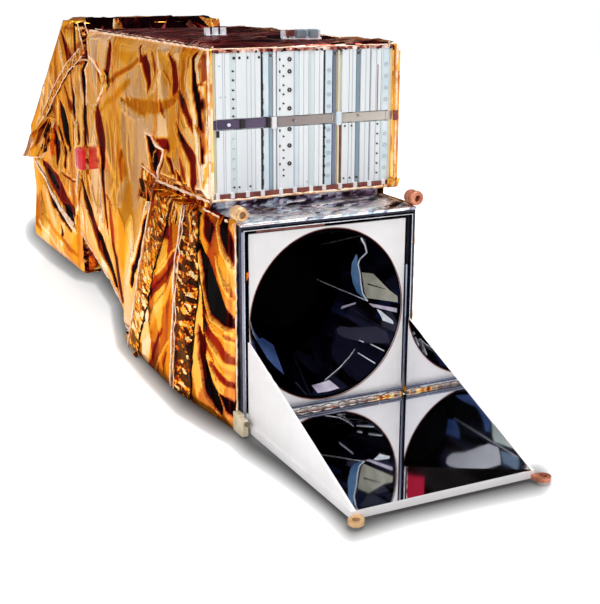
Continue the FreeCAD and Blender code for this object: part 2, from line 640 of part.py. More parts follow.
def make_scan_mirror():
    """A flat oval mirror at 45 degrees on its hub and shaft."""
    reach = "(beam_r + mirror_t)"
    column = rod("mirror_column", "beam_r", "2 * " + reach, ("0", "mirror_y - %s" % reach, "axis_z"), "y")
    slab = doc.addObject("Part::Box", "mirror_slab")
    for side, text in zip(("Length", "Width", "Height"), ("4 * beam_r", "mirror_t", "4 * beam_r")):
        slab.setExpression(side, bound(text))
    slab.Placement = FreeCAD.Placement(V(), FreeCAD.Rotation(V(1, 0, 0), 45))
    # the slab's middle is carried to the axis: half its height back along the tilted side
    tilt = "sqrt(0.5)"
    place(slab, ("-2 * beam_r", "mirror_y + %s * (2 * beam_r - mirror_t / 2)" % tilt,
                 "axis_z - %s * (2 * beam_r + mirror_t / 2)" % tilt))
    oval = doc.addObject("Part::Common", "mirror_oval")
    oval.Base = column
    oval.Tool = slab
    part("scan_mirror", oval)

    hub = rod("hub_column", "hub_r", "hub_r + mirror_t * 2", ("0", "mirror_y", "axis_z"), "y")
    front = block("hub_front", ("4 * hub_r", "8 * hub_r", "8 * hub_r"), ("0", "0", "0"))
    front.Placement = FreeCAD.Placement(V(), FreeCAD.Rotation(V(1, 0, 0), 45))
    place(front, ("-2 * hub_r", "mirror_y + %s * (4 * hub_r - 8 * hub_r + mirror_t / 2)" % tilt,
                  "axis_z - %s * (4 * hub_r + 8 * hub_r - mirror_t / 2)" % tilt))
    boss = less("hub_boss", hub, front)
    end = "(%s - blanket_t - skin_t - motor_d * 0.4)" % SCAN_BACK
    shaft = rod("scan_shaft", "shaft_r", "%s - (mirror_y + hub_r)" % end,
                ("0", "mirror_y + hub_r", "axis_z"), "y")
    part("scan_hub", joined("scan_hub", boss, shaft))


def make_telescope():
    start = "(scan_y + blanket_t + skin_t - barrel_d)"
    tube = rod("barrel_tube", "barrel_r", "barrel_d", ("0", start, "axis_z"), "y")
    bore = rod("barrel_bore", "barrel_r - barrel_t", "barrel_d * 2",
               ("0", start + " - barrel_d / 2", "axis_z"), "y")
    part("telescope_barrel", less("telescope_barrel", tube, bore))
    glass = rod("primary_glass", "barrel_r - barrel_t", "primary_t", ("0", start, "axis_z"), "y")
    hole = rod("primary_bore", "primary_hole", "primary_t * 3", ("0", start + " - primary_t", "axis_z"), "y")
    part("primary_mirror", less("primary_mirror", glass, hole))
    cell_y = start + " + barrel_d - secondary_d * 1.5"
    cell = rod("secondary_cell", "secondary_r", "secondary_d", ("0", cell_y, "axis_z"), "y")
    span = "2 * (barrel_r - barrel_t)"
    upright = block("spider_upright", ("vane_t", "vane_d", span),
                    ("-vane_t / 2", cell_y, "axis_z - (barrel_r - barrel_t)"))
    level = block("spider_level", (span, "vane_d", "vane_t"),
                  ("-(barrel_r - barrel_t)", cell_y, "axis_z - vane_t / 2"))
    cross = joined("spider", cell, upright, level)
    inside = rod("spider_limit", "barrel_r - barrel_t", "barrel_d", ("0", start, "axis_z"), "y")
    spider = doc.addObject("Part::Common", "secondary_spider")
    spider.Base = cross
    spider.Tool = inside
    part("secondary_spider", spider)


def make_cube_cover():
    """The red cover over the alignment cube, on the left of the body."""
    box = block("cover_box", ("cover_x", "cover_y", "cover_z"),
                (LEFT + " - cover_x", "cover_at_y - cover_y / 2", "cover_at_z - cover_z / 2"))
    part("cube_cover", box)


# ---------------------------------------------------------------- earth shield
def make_shield():
    left = "(%s - %s / 2)" % (COOLER_MID, PANEL_W)
    front = "(hinge_y - %s)" % PANEL_L
    length = "(%s + panel_back)" % PANEL_L
    plate = block("panel_plate", (PANEL_W, length, "panel_t"), (left, front, "hinge_z - panel_t / 2"))
    holes = [
        rod("panel_hole_" + side, "pin_r + shaft_gap", "pin_l + 2 * shaft_gap + 1",
            (x, "hinge_y", "hinge_z"), "x")
        for side, x in (("left", left + " - 1"),
                        ("right", "%s + %s - pin_l - 2 * shaft_gap" % (left, PANEL_W)))
    ]
    part("shield_panel", less("shield_panel", plate, *holes))

    reach = "(%s - wing_t / 2)" % WING_X
    part("shield_mirror", block("shield_film", ("2 * %s - 2 * film_t" % reach, length, "film_t"),
                                ("%s - %s + film_t" % (COOLER_MID, reach), front, PANEL_TOP)))
    shape = [
        (front, PANEL_TOP),
        ("hinge_y + panel_back", PANEL_TOP),
        ("hinge_y + panel_back", PANEL_TOP + " + wing_h"),
    ]
    for side, sign in (("left", "-"), ("right", "+")):
        middle = "%s %s %s" % (COOLER_MID, sign, WING_X)
        part("shield_wing_" + side, profile("wing_" + side, "x", middle + " - wing_t / 2", "wing_t", shape))
        inner = {"-": middle + " + wing_t / 2", "+": middle + " - wing_t / 2 - film_t"}[sign]
        part("wing_mirror_" + side, profile("wing_mirror_" + side, "x", inner, "film_t", shape))
        make_latch_ring(side, sign)


def make_latch_ring(side, sign):
    """The ring at one front corner of the shield that closes onto a latch."""
    name = "latch_ring_" + side
    x = "%s %s %s" % (COOLER_MID, sign, LATCH_X)
    y = "(hinge_y - %s)" % RING_L
    low = "hinge_z - panel_t / 2"
    disc = rod(name + "_disc", "ring_r", "ring_t", (x, y, low), "z")
    arm = block(name + "_arm", ("ring_arm", "%s - %s" % (RING_L, PANEL_L), "ring_t"),
                (x + {"-": "", "+": " - ring_arm"}[sign], y, low))
    eye = rod(name + "_eye", "ring_hole", "ring_t * 3", (x, y, low + " - ring_t"), "z")
    corner = block(name + "_corner", ("4 * ring_r", "ring_r", "4 * ring_t"),
                   (x + " - 2 * ring_r", "hinge_y - %s" % PANEL_L, low + " - ring_t"))
    part(name, less(name, joined(name, disc, arm), eye, corner))


make_cooler()
make_electronics()
make_plugs()
make_optics()
make_feet()
make_scanner()
make_cube_cover()
make_shield()
doc.recompute()

for thing in doc.Objects:
    if "Invalid" in thing.State or "Error" in thing.State:
        raise RuntimeError("%s (%s) failed: %s" % (thing.Name, thing.Label, thing.State))
os.makedirs("parts", exist_ok=True)
for piece in parts:
    if piece.Shape.isNull() or not piece.Shape.isValid() or not piece.Shape.Solids:
        raise RuntimeError("%s has no valid solid" % piece.Label)
    piece.Shape.exportStep("parts/%s.step" % piece.Label)
    print("%-24s %d solids %10.0f mm3" % (piece.Label, len(piece.Shape.Solids), piece.Shape.Volume))
print(len(parts), "parts")
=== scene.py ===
import json
import math

import bmesh
import bpy
import numpy as np
from mathutils import Matrix, Vector
from mathutils.bvhtree import BVHTree
from mathutils.geometry import delaunay_2d_cdt

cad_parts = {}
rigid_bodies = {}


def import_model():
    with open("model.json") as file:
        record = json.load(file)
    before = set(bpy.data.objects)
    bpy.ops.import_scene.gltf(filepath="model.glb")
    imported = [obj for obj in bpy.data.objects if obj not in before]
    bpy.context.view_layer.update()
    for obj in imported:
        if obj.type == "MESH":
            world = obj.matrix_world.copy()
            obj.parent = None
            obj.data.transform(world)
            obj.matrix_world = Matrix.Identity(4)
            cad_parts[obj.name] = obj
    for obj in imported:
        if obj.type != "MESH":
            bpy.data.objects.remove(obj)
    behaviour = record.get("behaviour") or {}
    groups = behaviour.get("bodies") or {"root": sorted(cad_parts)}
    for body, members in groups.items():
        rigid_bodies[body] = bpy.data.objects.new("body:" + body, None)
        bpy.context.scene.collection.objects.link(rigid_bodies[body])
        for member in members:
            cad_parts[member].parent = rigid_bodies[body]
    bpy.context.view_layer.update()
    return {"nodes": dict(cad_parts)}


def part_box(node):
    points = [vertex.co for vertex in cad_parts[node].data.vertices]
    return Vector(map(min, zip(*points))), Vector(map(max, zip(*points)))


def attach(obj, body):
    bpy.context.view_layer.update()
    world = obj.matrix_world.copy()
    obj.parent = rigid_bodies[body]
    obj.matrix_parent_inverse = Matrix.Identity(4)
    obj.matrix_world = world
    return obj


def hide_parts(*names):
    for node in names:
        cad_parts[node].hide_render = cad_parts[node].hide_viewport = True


for leftover in list(bpy.data.objects):
    bpy.data.objects.remove(leftover)
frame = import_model()
nodes = frame["nodes"]

MM = 0.001
FULL = 2 * math.pi
LEFT, RIGHT, FRONT, BACK, UP = map(Vector, ((-1, 0, 0), (1, 0, 0), (0, -1, 0), (0, 1, 0), (0, 0, 1)))


# ---------------------------------------------------------------- measures

def box(*names):
    """The lowest and highest corners of some nodes together, in millimetres."""
    corners = [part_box(name) for name in names]
    low = Vector([min(c[0][i] for c in corners) for i in range(3)]) / MM
    high = Vector([max(c[1][i] for c in corners) for i in range(3)]) / MM
    return low, high


cooler_low, cooler_high = box("cooler_bezel")
tower_low, tower_high = box("electronics_housing")
body_low, body_high = box("blanket_body_left", "blanket_body_right")
side_low, side_high = box("blanket_body_left", "blanket_scanner_left")
skirt_low, skirt_high = box("blanket_cooler_left")
plate_low, plate_high = box("radiator_plate")
cone_low, cone_high = box("cooler_cone")


def gap_to(a, b, start, end):
    """How far each place (a, b) lies from a straight line, and its share along that line."""
    (a0, b0), (a1, b1) = start, end
    run = max((a1 - a0) ** 2 + (b1 - b0) ** 2, 1e-6)
    share = np.clip(((a - a0) * (a1 - a0) + (b - b0) * (b1 - b0)) / run, 0, 1)
    return np.hypot(a - a0 - share * (a1 - a0), b - b0 - share * (b1 - b0)), share


# ---------------------------------------------------------------- soft randomness

def scattered(i, j, seed):
    """A repeatable number from 0 to 1 for each whole-number pair."""
    n = (i * 374761393 + j * 668265263 + seed * 1442695041) & 0xFFFFFFFF
    n = ((n ^ (n >> 13)) * 1274126177) & 0xFFFFFFFF
    return ((n ^ (n >> 16)) & 0xFFFFFF) / 0xFFFFFF


def drift(a, b, size, seed):
    """A smooth field from -0.5 to 0.5 that changes over about `size` millimetres."""
    x, y = a / size + 1000.0, b / size + 1000.0
    i, j = np.floor(x).astype(np.int64), np.floor(y).astype(np.int64)
    s, t = x - i, y - j
    s, t = s * s * (3 - 2 * s), t * t * (3 - 2 * t)
    low = scattered(i, j, seed) * (1 - s) + scattered(i + 1, j, seed) * s
    high = scattered(i, j + 1, seed) * (1 - s) + scattered(i + 1, j + 1, seed) * s
    return low * (1 - t) + high * t - 0.5


def pleats(a, b, size, seed):
    """Sharp upright ridges and valleys, from about -1 to 1."""
    pick = np.random.default_rng(seed)
    total = np.zeros_like(a)
    layers = 6
    for k in range(layers):
        turn = math.radians(90 + pick.normal(0, 8))
        pitch = size * pick.uniform(0.6, 1.7)
        across = a * math.sin(turn) - b * math.cos(turn) + 1.6 * pitch * drift(a, b, pitch * 3, seed + k)
        wave = np.abs(((across / pitch + pick.random()) % 1.0) * 2 - 1)
        total += (wave - 0.5) * np.clip((drift(a, b, pitch * 2.5, seed + 50 + k) + 0.1) * 3.5, 0, 1)
    return total / math.sqrt(layers)


def facets(a, b, wide, tall, seed, lift, lean=90):
    """A crumpled field of flat facets with straight creases: its height in mm and its slopes."""
    pick = np.random.default_rng(seed)
    run = math.radians(lean)
    s, t = a * math.sin(run) - b * math.cos(run), a * math.cos(run) + b * math.sin(run)
    low_s, high_s, low_t, high_t = s.min() - wide, s.max() + wide, t.min() - tall, t.max() + tall
    across, up = int((high_s - low_s) / wide) + 1, int((high_t - low_t) / tall) + 1
    points = [Vector((i + pick.uniform(-0.45, 0.45) + 0.5 * (j % 2), j + pick.uniform(-0.45, 0.45)))
              for i in range(across) for j in range(up)]
    spots, _, faces, *_ = delaunay_2d_cdt(points, [], [], 0, 1e-5)
    rise = pick.normal(0, 1, len(spots))
    tree = BVHTree.FromPolygons([(p.x, p.y, h) for p, h in zip(spots, rise)], faces)
    found = np.zeros((3, len(a)))
    for k, (x, y) in enumerate(zip((s - low_s) / wide, (t - low_t) / tall)):
        at, normal, *_ = tree.ray_cast((x, y, 20), (0, 0, -1))
        if at:
            found[:, k] = at.z * lift, -normal.x / normal.z, -normal.y / normal.z
    return found


# ---------------------------------------------------------------- folds
# A fold is a tone, a height in mm, the softness of its edge and a path of (a, b, half width in mm).
# The tones are painted reflections, shade and highlights: dark folds mostly sink and pale ones rise.

def fold_paths(a, b, folds):
    """Lays folds over one another: the tone, where there is a fold at all, and the height."""
    tone, mask, height = np.full_like(a, 0.5), np.zeros_like(a), np.zeros_like(a)
    for shade, lift, soft, path in folds:
        nearest = np.full_like(a, 9.0)
        for (*start, w0), (*end, w1) in zip(path, path[1:]):
            gap, share = gap_to(a, b, start, end)
            nearest = np.minimum(nearest, gap / (w0 + (w1 - w0) * share))
        part = np.clip((1.15 - nearest) / soft, 0, 1)
        part = part * part * (3 - 2 * part)
        tone = tone * (1 - part) + shade * part
        mask = np.maximum(mask, part)
        height = height + lift * part
    return tone, mask, height


def chance_folds(seed, low, high, count, along=90, spread=22):
    """Folds like those on the near side, for the panels where none are listed."""
    pick = np.random.default_rng(seed)
    # Dark kinds sink and pale kinds rise: painted shade in the valleys, painted highlights on the ridges.
    kinds = [(.13, -3, .7), (.3, -1.5, .6), (.86, 2, .6), (.93, 2, .5), (.5, 0, .9), (.8, 0, .9),
             (.55, 0, .9)]
    folds = []
    for _ in range(count):
        shade, lift, soft = kinds[pick.integers(len(kinds))]
        reach = pick.uniform(30, 120)
        wide = pick.uniform(2.5, 10) * (1.8 if soft > .6 else 1)
        turn = math.radians(along + pick.normal(0, spread))
        a, b = pick.uniform(low[0], high[0]), pick.uniform(low[1], high[1])
        bow = pick.normal(0, reach / 9)
        path = []
        for s, share in ((-1, .25), (-.35, .9), (.3, 1), (1, .2)):
            forth, side = reach / 2 * s, bow * (1 - s * s)
            path.append((a + math.cos(turn) * forth - side * math.sin(turn),
                         b + math.sin(turn) * forth + side * math.cos(turn), wide * share))
        folds.append((shade, lift, soft, path))
    return folds


def placed(rows, low, high, deepen, dim=1.0):
    """Reads folds, a line each: tone, height, softness, then along the path its shares of the panel's
    length and height and its half width. The dark ones are widened by `deepen`."""
    folds = []
    for row in rows.strip().splitlines():
        shade, lift, soft, *spots = map(float, row.split())
        grow = deepen if shade < 0.3 else 1
        folds.append((shade * dim, lift, soft, [
            (low.y + u * (high.y - low.y), low.z + v * (high.z - low.z), wide * grow)
            for u, v, wide in zip(spots[::3], spots[1::3], spots[2::3])]))
    return folds


LEFT_FOLDS = """
.01 -4 .4  .566 .918 4.5  .569 .808 8.1  .577 .703 7.7  .584 .596 5.8  .593 .558 2
.96 1.5 .5  .545 .92 2.3  .56 .793 2.9  .558 .742 1.5  .511 .734 .8
.82 0 .7  .537 .847 6.7  .531 .781 10.7  .515 .75 5.4
.34 0 .6  .493 .88 3.3  .485 .839 5.3  .476 .807 2
.17 -2 .4  .416 .941 4.9  .43 .895 7.4  .444 .851 5.3
.9 1 .5  .399 .946 1.6  .413 .904 2.6  .422 .858 1.8
.66 0 .9  .379 .933 2.7  .329 .921 9.3  .28 .933 3.3
.84 0 .9  .413 .91 5.1  .404 .886 6.9
.45 -.6 .5  .429 .831 3.3  .347 .875 3.8  .271 .916 3.1
.88 .6 .4  .437 .802 .7  .354 .848 .8  .282 .886 .6
.58 0 .8  .495 .713 3.1  .4 .785 5.8  .314 .844 5.4
.16 -2.5 .35  .228 .942 1.5  .237 .903 11.6  .232 .863 6.6  .239 .827 1.2
.88 1.5 .5  .267 .955 1.7  .262 .912 2
.15 -1 .35  .259 .956 2.7  .257 .918 3.4
.85 1.8 .5  .224 .934 2  .212 .901 3  .205 .87 1.5
.36 -1 .5  .199 .943 3.1  .194 .909 5.4  .2 .88 1.5
.9 1.5 .5  .173 .895 1.5  .197 .852 4.3  .226 .817 2
.66 0 .8  .171 .944 4  .147 .916 12.4  .149 .877 9.1
.34 -1 .5  .165 .9 .8  .14 .881 2.3  .125 .864 1.3
.17 -2.5 .4  .134 .943 1.7  .11 .921 6.1  .104 .878 7.2  .114 .838 5.2
.84 1.5 .5  .085 .957 2  .083 .914 3.7  .077 .867 2
.5 0 .6  .071 .938 2.6  .064 .912 5.6  .069 .879 3.9
.86 1.6 .5  .051 .953 1.9  .053 .892 6.2  .04 .831 5.5  .046 .776 2.6
.01 -3 .35  .025 .959 2.6  .024 .887 6.1  .014 .836 6.7  .013 .767 4  .011 .687 2.7
.16 -1 .4  .005 .962 2.6  .003 .916 3.1  .009 .889 1.2
.5 0 .5  0 .89 2.6  0 .823 2.6
.5 -1.5 .35  .358 .786 1.4  .279 .774 8.9  .196 .788 7.5  .135 .815 4.6  .089 .854 3.8
.46 -.5 .5  .288 .794 1.3  .27 .767 3.5  .248 .747 2
.56 0 .5  .231 .811 1.5  .219 .777 4.2  .206 .757 2.6
.22 -.5 .5  .177 .818 1.6  .174 .787 3.7  .162 .766 1.2
.97 1.5 .45  .368 .784 1.3  .34 .746 1.4  .296 .732 1.1  .243 .745 .5
.92 1 .45  .352 .791 1  .342 .786 1.3
.92 1 .45  .317 .8 1.6  .312 .789 2.3
.17 -2.5 .35  .093 .858 1.3  .067 .831 6.3  .045 .786 4.9  .039 .761 1.3
.86 1.4 .5  .086 .821 1  .064 .79 3.7  .046 .756 1.8
.16 -2.5 .35  .498 .743 3  .497 .679 13  .479 .615 13  .484 .553 8.4
.15 -2 .35  .483 .56 8.5  .486 .483 7.5  .479 .395 5.8  .468 .307 3.5
.03 -2 .35  .491 .537 2.2  .491 .502 3.9  .491 .468 2.2
.9 1.4 .5  .542 .717 2.7  .535 .657 3.5  .553 .59 2.7
.18 -1 .4  .576 .682 3.1  .564 .636 5.4  .558 .602 2.3
.88 1.5 .5  .523 .728 2.2  .518 .647 3.6  .511 .58 2.2
.86 0 .8  .617 .434 2.4  .598 .356 14.2  .567 .268 12.7  .518 .193 7.6
.9 1.6 .5  .563 .466 4.6  .545 .393 7.3  .508 .316 4.8
.55 0 .6  .582 .471 3.6  .567 .421 6.5  .551 .391 3.2
.15 -3 .35  .619 .456 2.2  .589 .385 6.3  .546 .305 8.1  .514 .242 8.3  .465 .18 7.3  .435 .123 3.1
.01 -3 .4  .534 .295 2  .502 .236 5.1  .471 .185 6.6  .446 .132 4
.84 1.6 .5  .516 .374 3.5  .492 .298 5.5  .462 .224 4.1  .438 .164 2
.36 -1 .6  .443 .414 4.3  .437 .34 10.7  .436 .271 10.9  .422 .221 4.2
.17 -2 .4  .441 .279 2.9  .422 .221 7.3  .411 .145 7.7  .397 .099 4.2
.84 0 .9  .397 .676 7.1  .414 .589 13.9  .444 .479 5.1
.38 0 .9  .369 .618 5.9  .367 .57 17.1  .375 .525 7
.92 1 .5  .339 .677 1.9  .34 .626 3  .332 .544 2.3
.34 -.8 .5  .27 .601 2.1  .283 .541 4.4  .301 .484 2.8
.3 -.6 .5  .481 .443 1.8  .447 .426 2.7  .426 .413 1.2
.88 1 .5  .414 .506 1.5  .435 .445 2.9  .415 .404 1.8
.6 0 .9  .345 .495 14.2  .365 .355 25.3  .383 .238 14.5
.93 2.5 .5  .249 .539 2.2  .278 .44 4.4  .315 .329 5.6  .366 .17 5.8
.02 -4 .35  .237 .512 1.3  .264 .433 4.2  .305 .313 5.6  .344 .181 4.4
.9 1.2 .5  .275 .597 .7  .242 .585 .8  .211 .57 1
.02 -1.2 .4  .28 .589 .5  .247 .577 .8  .22 .564 .5
.01 -5 .35  .248 .696 2.4  .234 .66 7.7  .222 .627 12.7  .21 .588 4.8
.15 -4 .4  .237 .69 2.1  .211 .666 6.4  .189 .645 9.9  .205 .596 3.9
.8 1.2 .4  .202 .669 .8  .221 .639 1.6  .227 .614 1.2
.55 .8 .4  .242 .634 1.3  .232 .606 1.5  .215 .578 1.1
.17 0 .5  .191 .695 2.1  .157 .686 6.1  .149 .677 4.4
.17 -2.5 .35  .163 .65 1.4  .138 .628 4.8  .11 .607 3.9  .087 .583 1
.9 1.4 .5  .137 .672 1.5  .128 .639 2.7  .119 .605 1.5
.36 0 .6  .1 .667 4.1  .089 .637 7.9  .078 .617 4.8
.86 1.4 .5  .117 .759 1.3  .091 .704 2.6  .069 .648 2.8  .071 .603 1.4
.16 -3 .35  .104 .762 1.5  .074 .719 6.3  .045 .683 9  .043 .634 7.9  .055 .591 3.4
.86 1.4 .5  .084 .789 1.1  .058 .745 3.1  .033 .708 2.3  .026 .688 1.3
.38 0 .5  .027 .774 1.9  .009 .752 3.7  .007 .715 2.7
.8 0 .9  .688 .953 3.4  .637 .92 21.2  .656 .865 15.8
.42 0 .8  .685 .982 2.8  .619 .974 4.2
.15 -2 .4  .714 .962 1.9  .685 .908 7.2  .667 .853 6.6
.97 2 .5  .738 .942 2.9  .722 .885 5.6  .701 .82 3.5
.48 0 .6  .758 .888 5.2  .764 .795 7.9  .771 .701 6.6
.86 1.5 .6  .808 .838 3.9  .824 .729 7.7  .845 .648 4.9
.92 1.5 .6  .865 .741 2.5  .88 .68 6.4  .871 .626 4.7
.55 -1 .6  .9 .715 4.4  .935 .629 6.1  .99 .535 5.7
.9 1 .6  .888 .678 3.1  .912 .613 4.3  .934 .572 2.9
.02 -4 .35  .661 .815 3.5  .655 .741 8.6  .64 .683 5.9  .619 .63 3.6  .624 .571 2.3
.16 -1 .4  .707 .764 2.1  .679 .704 4.8  .652 .63 3.4  .652 .556 2.5
.02 -4 .35  .742 .703 2.4  .725 .657 9.7  .71 .601 12.1  .688 .543 4.6
.78 1 .6  .617 .864 4.8  .613 .766 7.2  .613 .624 7.2
.9 2 .5  .635 .805 2.4  .63 .728 3.9  .63 .584 2.9
.01 -5 .35  .799 .576 4.3  .786 .525 15.4  .799 .444 2.1
.88 2 .5  .813 .592 2.3  .758 .552 2.5  .703 .524 1.7
.12 -2 .35  .76 .597 2.6  .742 .563 5.1  .73 .544 2
.06 -3 .35  .721 .523 5.1  .738 .465 4.3
.17 -3 .35  .919 .425 3.7  .836 .38 11.7  .737 .326 13.2  .684 .291 6
.01 -4 .4  .889 .401 1.3  .836 .38 5.8  .794 .35 1.6
.01 -5 .4  .761 .306 1.6  .727 .283 10.5  .702 .253 2.9
1 5 .4  .954 .415 6.3  .887 .352 5.5  .801 .284 4.9  .691 .218 4.7
.01 -5 .35  .912 .344 1.9  .847 .288 6.1  .775 .245 5.9  .72 .211 1.5
.6 0 .6  .799 .439 2.8  .746 .381 5.7  .702 .327 3.9
.45 0 .6  .687 .412 5.2  .686 .344 10.4
.95 1.5 .5  .777 .438 .9  .712 .434 1.1  .658 .425 1
.1 -1 .4  .763 .431 1  .713 .423 1.3  .672 .42 .7
.97 3 .5  .628 .464 1.9  .661 .352 2.6  .692 .249 2.6
.42 -1 .5  .615 .457 2.7  .644 .358 6.1  .666 .267 4.2
.86 0 .8  .924 .311 9.3  .882 .255 18.5  .841 .2 18.3
.52 -1 .6  .946 .203 3.1  .846 .157 5.3  .741 .142 3.3
.9 1 .6  .96 .154 3.4  .852 .096 4  .746 .092 3.1
.42 -1 .6  .799 .159 4.3  .742 .134 5  .686 .126 2.2
.05 -2 .4  .787 .2 2.8  .782 .182 3.4  .799 .163 1.1
"""

SKIRT_FOLDS = """
.34 -4 .5  .387 .864 1.3  .474 .727 6.2  .62 .564 7  .766 .38 4.7
.9 3 .5  .399 .821 .7  .516 .703 1.6  .653 .552 1.7
.24 -3 .4  .456 .691 1.1  .577 .567 4.1  .707 .413 2.6
.86 4 .6  .458 .638 2.2  .529 .487 8  .67 .304 7.2  .821 .118 4.6
.55 0 .7  .468 .467 5.1  .518 .308 12.9  .569 .155 10.4
.28 -2 .4  .585 .259 1.3  .682 .118 3.1  .747 -.002 2.3
.88 3 .5  .5 .25 1.3  .594 .111 2.8  .666 .011 1.8
.34 -2 .5  .526 .173 1.6  .562 .091 3.7  .555 .038 1.7
.16 -2 .4  .602 .835 1.5  .584 .799 6.1  .565 .762 1.5
.16 -2 .4  .499 .996 .9  .543 .939 4.6  .589 .881 1.9
.14 -1.5 .4  .228 1.063 4.3  .169 1.002 13.5  .19 .9 7.3
.46 0 .5  .214 .98 1.3  .126 .966 6  .076 .933 3.6
.01 -5 .35  .074 1.017 2  .043 .924 6.7  -.012 .838 5.8  -.066 .745 1.2
.88 3 .5  .109 .971 1.3  .071 .85 3.6  -.025 .731 2.2
.6 0 .7  .025 .984 3.3  -.038 .902 9  -.068 .838 4.7
.3 -1 .4  -.008 1.003 1.1  -.046 .932 2.8  -.077 .868 1.2
.01 -6 .35  .248 .815 1.3  .197 .714 7.9  .13 .609 10.8  .055 .54 6.9  -.036 .499 1.2
.86 4 .5  .258 .793 1.4  .238 .621 3.4  .143 .506 2.7  .007 .453 1.7
.84 3 .5  .123 .805 1.7  .067 .709 4.6  -.031 .62 3.1
.42 0 .5  .05 .696 1.3  -.015 .652 3.4  -.064 .642 1.4
.28 -1 .4  .01 .653 1  -.031 .62 1.9  -.063 .604 .9
.22 -2 .4  .225 .485 1.5  .137 .419 3.7  .043 .349 3.5  -.032 .323 1.4
.8 3 .5  .187 .509 1.1  .101 .434 1.9  -.033 .402 1.2
.3 -1 .4  .058 .441 .8  -.001 .427 2  -.05 .418 1.2
.36 -1 .4  .219 .406 1.3  .166 .347 3.8  .115 .288 2
.86 3 .5  .191 .417 1.2  .113 .339 2.3  .028 .276 1.5
.01 -6 .35  .26 .41 1.5  .223 .292 6.8  .164 .153 8.3  .078 .072 3.7
.8 4 .5  .186 .308 1.9  .109 .199 4.6  .024 .108 2.5
.2 -2 .4  .142 .266 1.4  .064 .23 3.3  -.029 .204 1.7
.6 0 .6  .062 .291 2.5  -.005 .272 4.1  -.047 .262 1.6
.03 -3 .4  .067 .128 1.4  .016 .102 4.8  -.009 .074 2.5
"""


# ---------------------------------------------------------------- finishes

class Pattern:
    """Shader nodes, where a socket is given a number or another node's output."""

    def __init__(self, tree):
        self.tree = tree

    def feed(self, socket, value):
        if isinstance(value, bpy.types.NodeSocket):
            self.tree.links.new(value, socket)
        else:
            socket.default_value = value

    def add(self, kind, sockets=(), **settings):
        node = self.tree.nodes.new(kind)
        for key, value in settings.items():
            setattr(node, key, value)
        for key, value in dict(sockets).items():
            self.feed(node.inputs[key], value)
        return node.outputs

    def sum(self, first, second, operation="ADD"):
        return self.add("ShaderNodeMath", {0: first, 1: second}, operation=operation)["Value"]

    def span(self, value, low, high, to_low=0.0, to_high=1.0):
        return self.add("ShaderNodeMapRange", {"Value": value, "From Min": low, "From Max": high,
                                               "To Min": to_low, "To Max": to_high})["Result"]

    def in_view(self):
        """1 for what the camera sees, in mirrors and through glass too, and 0 for the light on things."""
        path = self.add("ShaderNodeLightPath")
        direct = self.sum(path["Is Camera Ray"], path["Is Glossy Ray"], "MAXIMUM")
        return self.sum(direct, path["Is Transmission Ray"], "MAXIMUM")


class Finish(Pattern):
    """A material whose pattern is built from nodes on the piece's own coordinates."""

    def __init__(self, name, metallic=0.0, roughness=0.5, **sockets):
        self.material = bpy.data.materials.new(name)
        self.material.use_nodes = True
        super().__init__(self.material.node_tree)
        self.shader = self.tree.nodes["Principled BSDF"].inputs
        for socket, value in dict(Metallic=metallic, Roughness=roughness, **sockets).items():
            self.shader[socket.replace("_", " ")].default_value = value
        self.place = self.add("ShaderNodeTexCoord")["Object"]

    def noise(self, scale, detail=3, bend=0.0, stretch=None):
        place = self.place
        if stretch:
            place = self.add("ShaderNodeMapping", {"Vector": place, "Scale": stretch})["Vector"]
        return self.add("ShaderNodeTexNoise", {"Vector": place, "Scale": scale, "Detail": detail,
                                               "Roughness": 0.55, "Distortion": bend})["Fac"]

    def flecked(self, value, flecks, swing):
        """A value made uneven by a noise pattern."""
        return self.sum(value, self.span(flecks, 0.3, 0.7, -swing, swing))

    def attribute(self, name):
        return self.add("ShaderNodeAttribute", attribute_name=name)["Fac"]

    def ramp(self, value, stops):
        node = self.tree.nodes.new("ShaderNodeValToRGB")
        steps = node.color_ramp.elements
        while len(steps) < len(stops):
            steps.new(0.5)
        for step, (at, colour) in zip(steps, stops):
            step.position = at
            step.color = (*colour, 1)
        self.feed(node.inputs["Fac"], value)
        return node.outputs["Color"]

    def colour(self, value, stops):
        self.feed(self.shader["Base Color"], self.ramp(value, stops))

    def rough(self, value, low, high):
        self.feed(self.shader["Roughness"], self.span(value, 0.3, 0.7, low, high))

    def bump(self, value, strength, distance):
        node = self.add("ShaderNodeBump", {"Height": value, "Strength": strength, "Distance": distance * MM})
        self.feed(self.shader["Normal"], node["Normal"])


def shade(red, green, blue):
    """A colour given as it looks on a screen, from 0 to 255, made linear."""
    return tuple(c / 12.92 if c <= 0.04045 else ((c + 0.055) / 1.055) ** 2.4
                 for c in (red / 255, green / 255, blue / 255))


def stops(*rows):
    """Steps of colour from rows of a place from 0 to 1 and a screen colour."""
    return [(at, shade(*colour)) for at, *colour in rows]


def film_finish(name, metallic, roughness, flecks, swing, colours, grain, bump, tint=None, rough=None):
    """A mirror-backed film: the colour follows the piece's tone, painted shade and highlight, which flecks
    of noise make uneven.
    """
    film = Finish(name, metallic, roughness)
    pattern = film.noise(*flecks)
    tone = film.flecked(film.attribute("tone"), pattern, swing)
    film.colour(tone, colours)
    if isinstance(tint, list):
        film.feed(film.shader["Specular Tint"], film.ramp(tone, tint))
    elif tint:
        film.feed(film.shader["Specular Tint"], (*tint, 1))
    if rough:
        scale, low, high = rough
        film.rough(film.noise(scale) if scale else pattern, low, high)
    film.bump(film.noise(*grain), *bump)
    return film.material


def coated(name, low, high, scale=60, metallic=0.0, rough=(0.4, 0.55), bump=0.12, stretch=None, **sockets):
    """A painted, plated or moulded finish with slight wear and variation between two screen colours."""
    coat = Finish(name, metallic, rough[0], **sockets)
    coat.colour(coat.noise(scale, 4, stretch=stretch), [(0.3, shade(*low)), (0.7, shade(*high))])
    coat.rough(coat.noise(scale * 2.2, stretch=stretch), *rough)
    if bump:
        coat.bump(coat.noise(scale * 9, 2, stretch=stretch), bump, 0.3)
    return coat.material
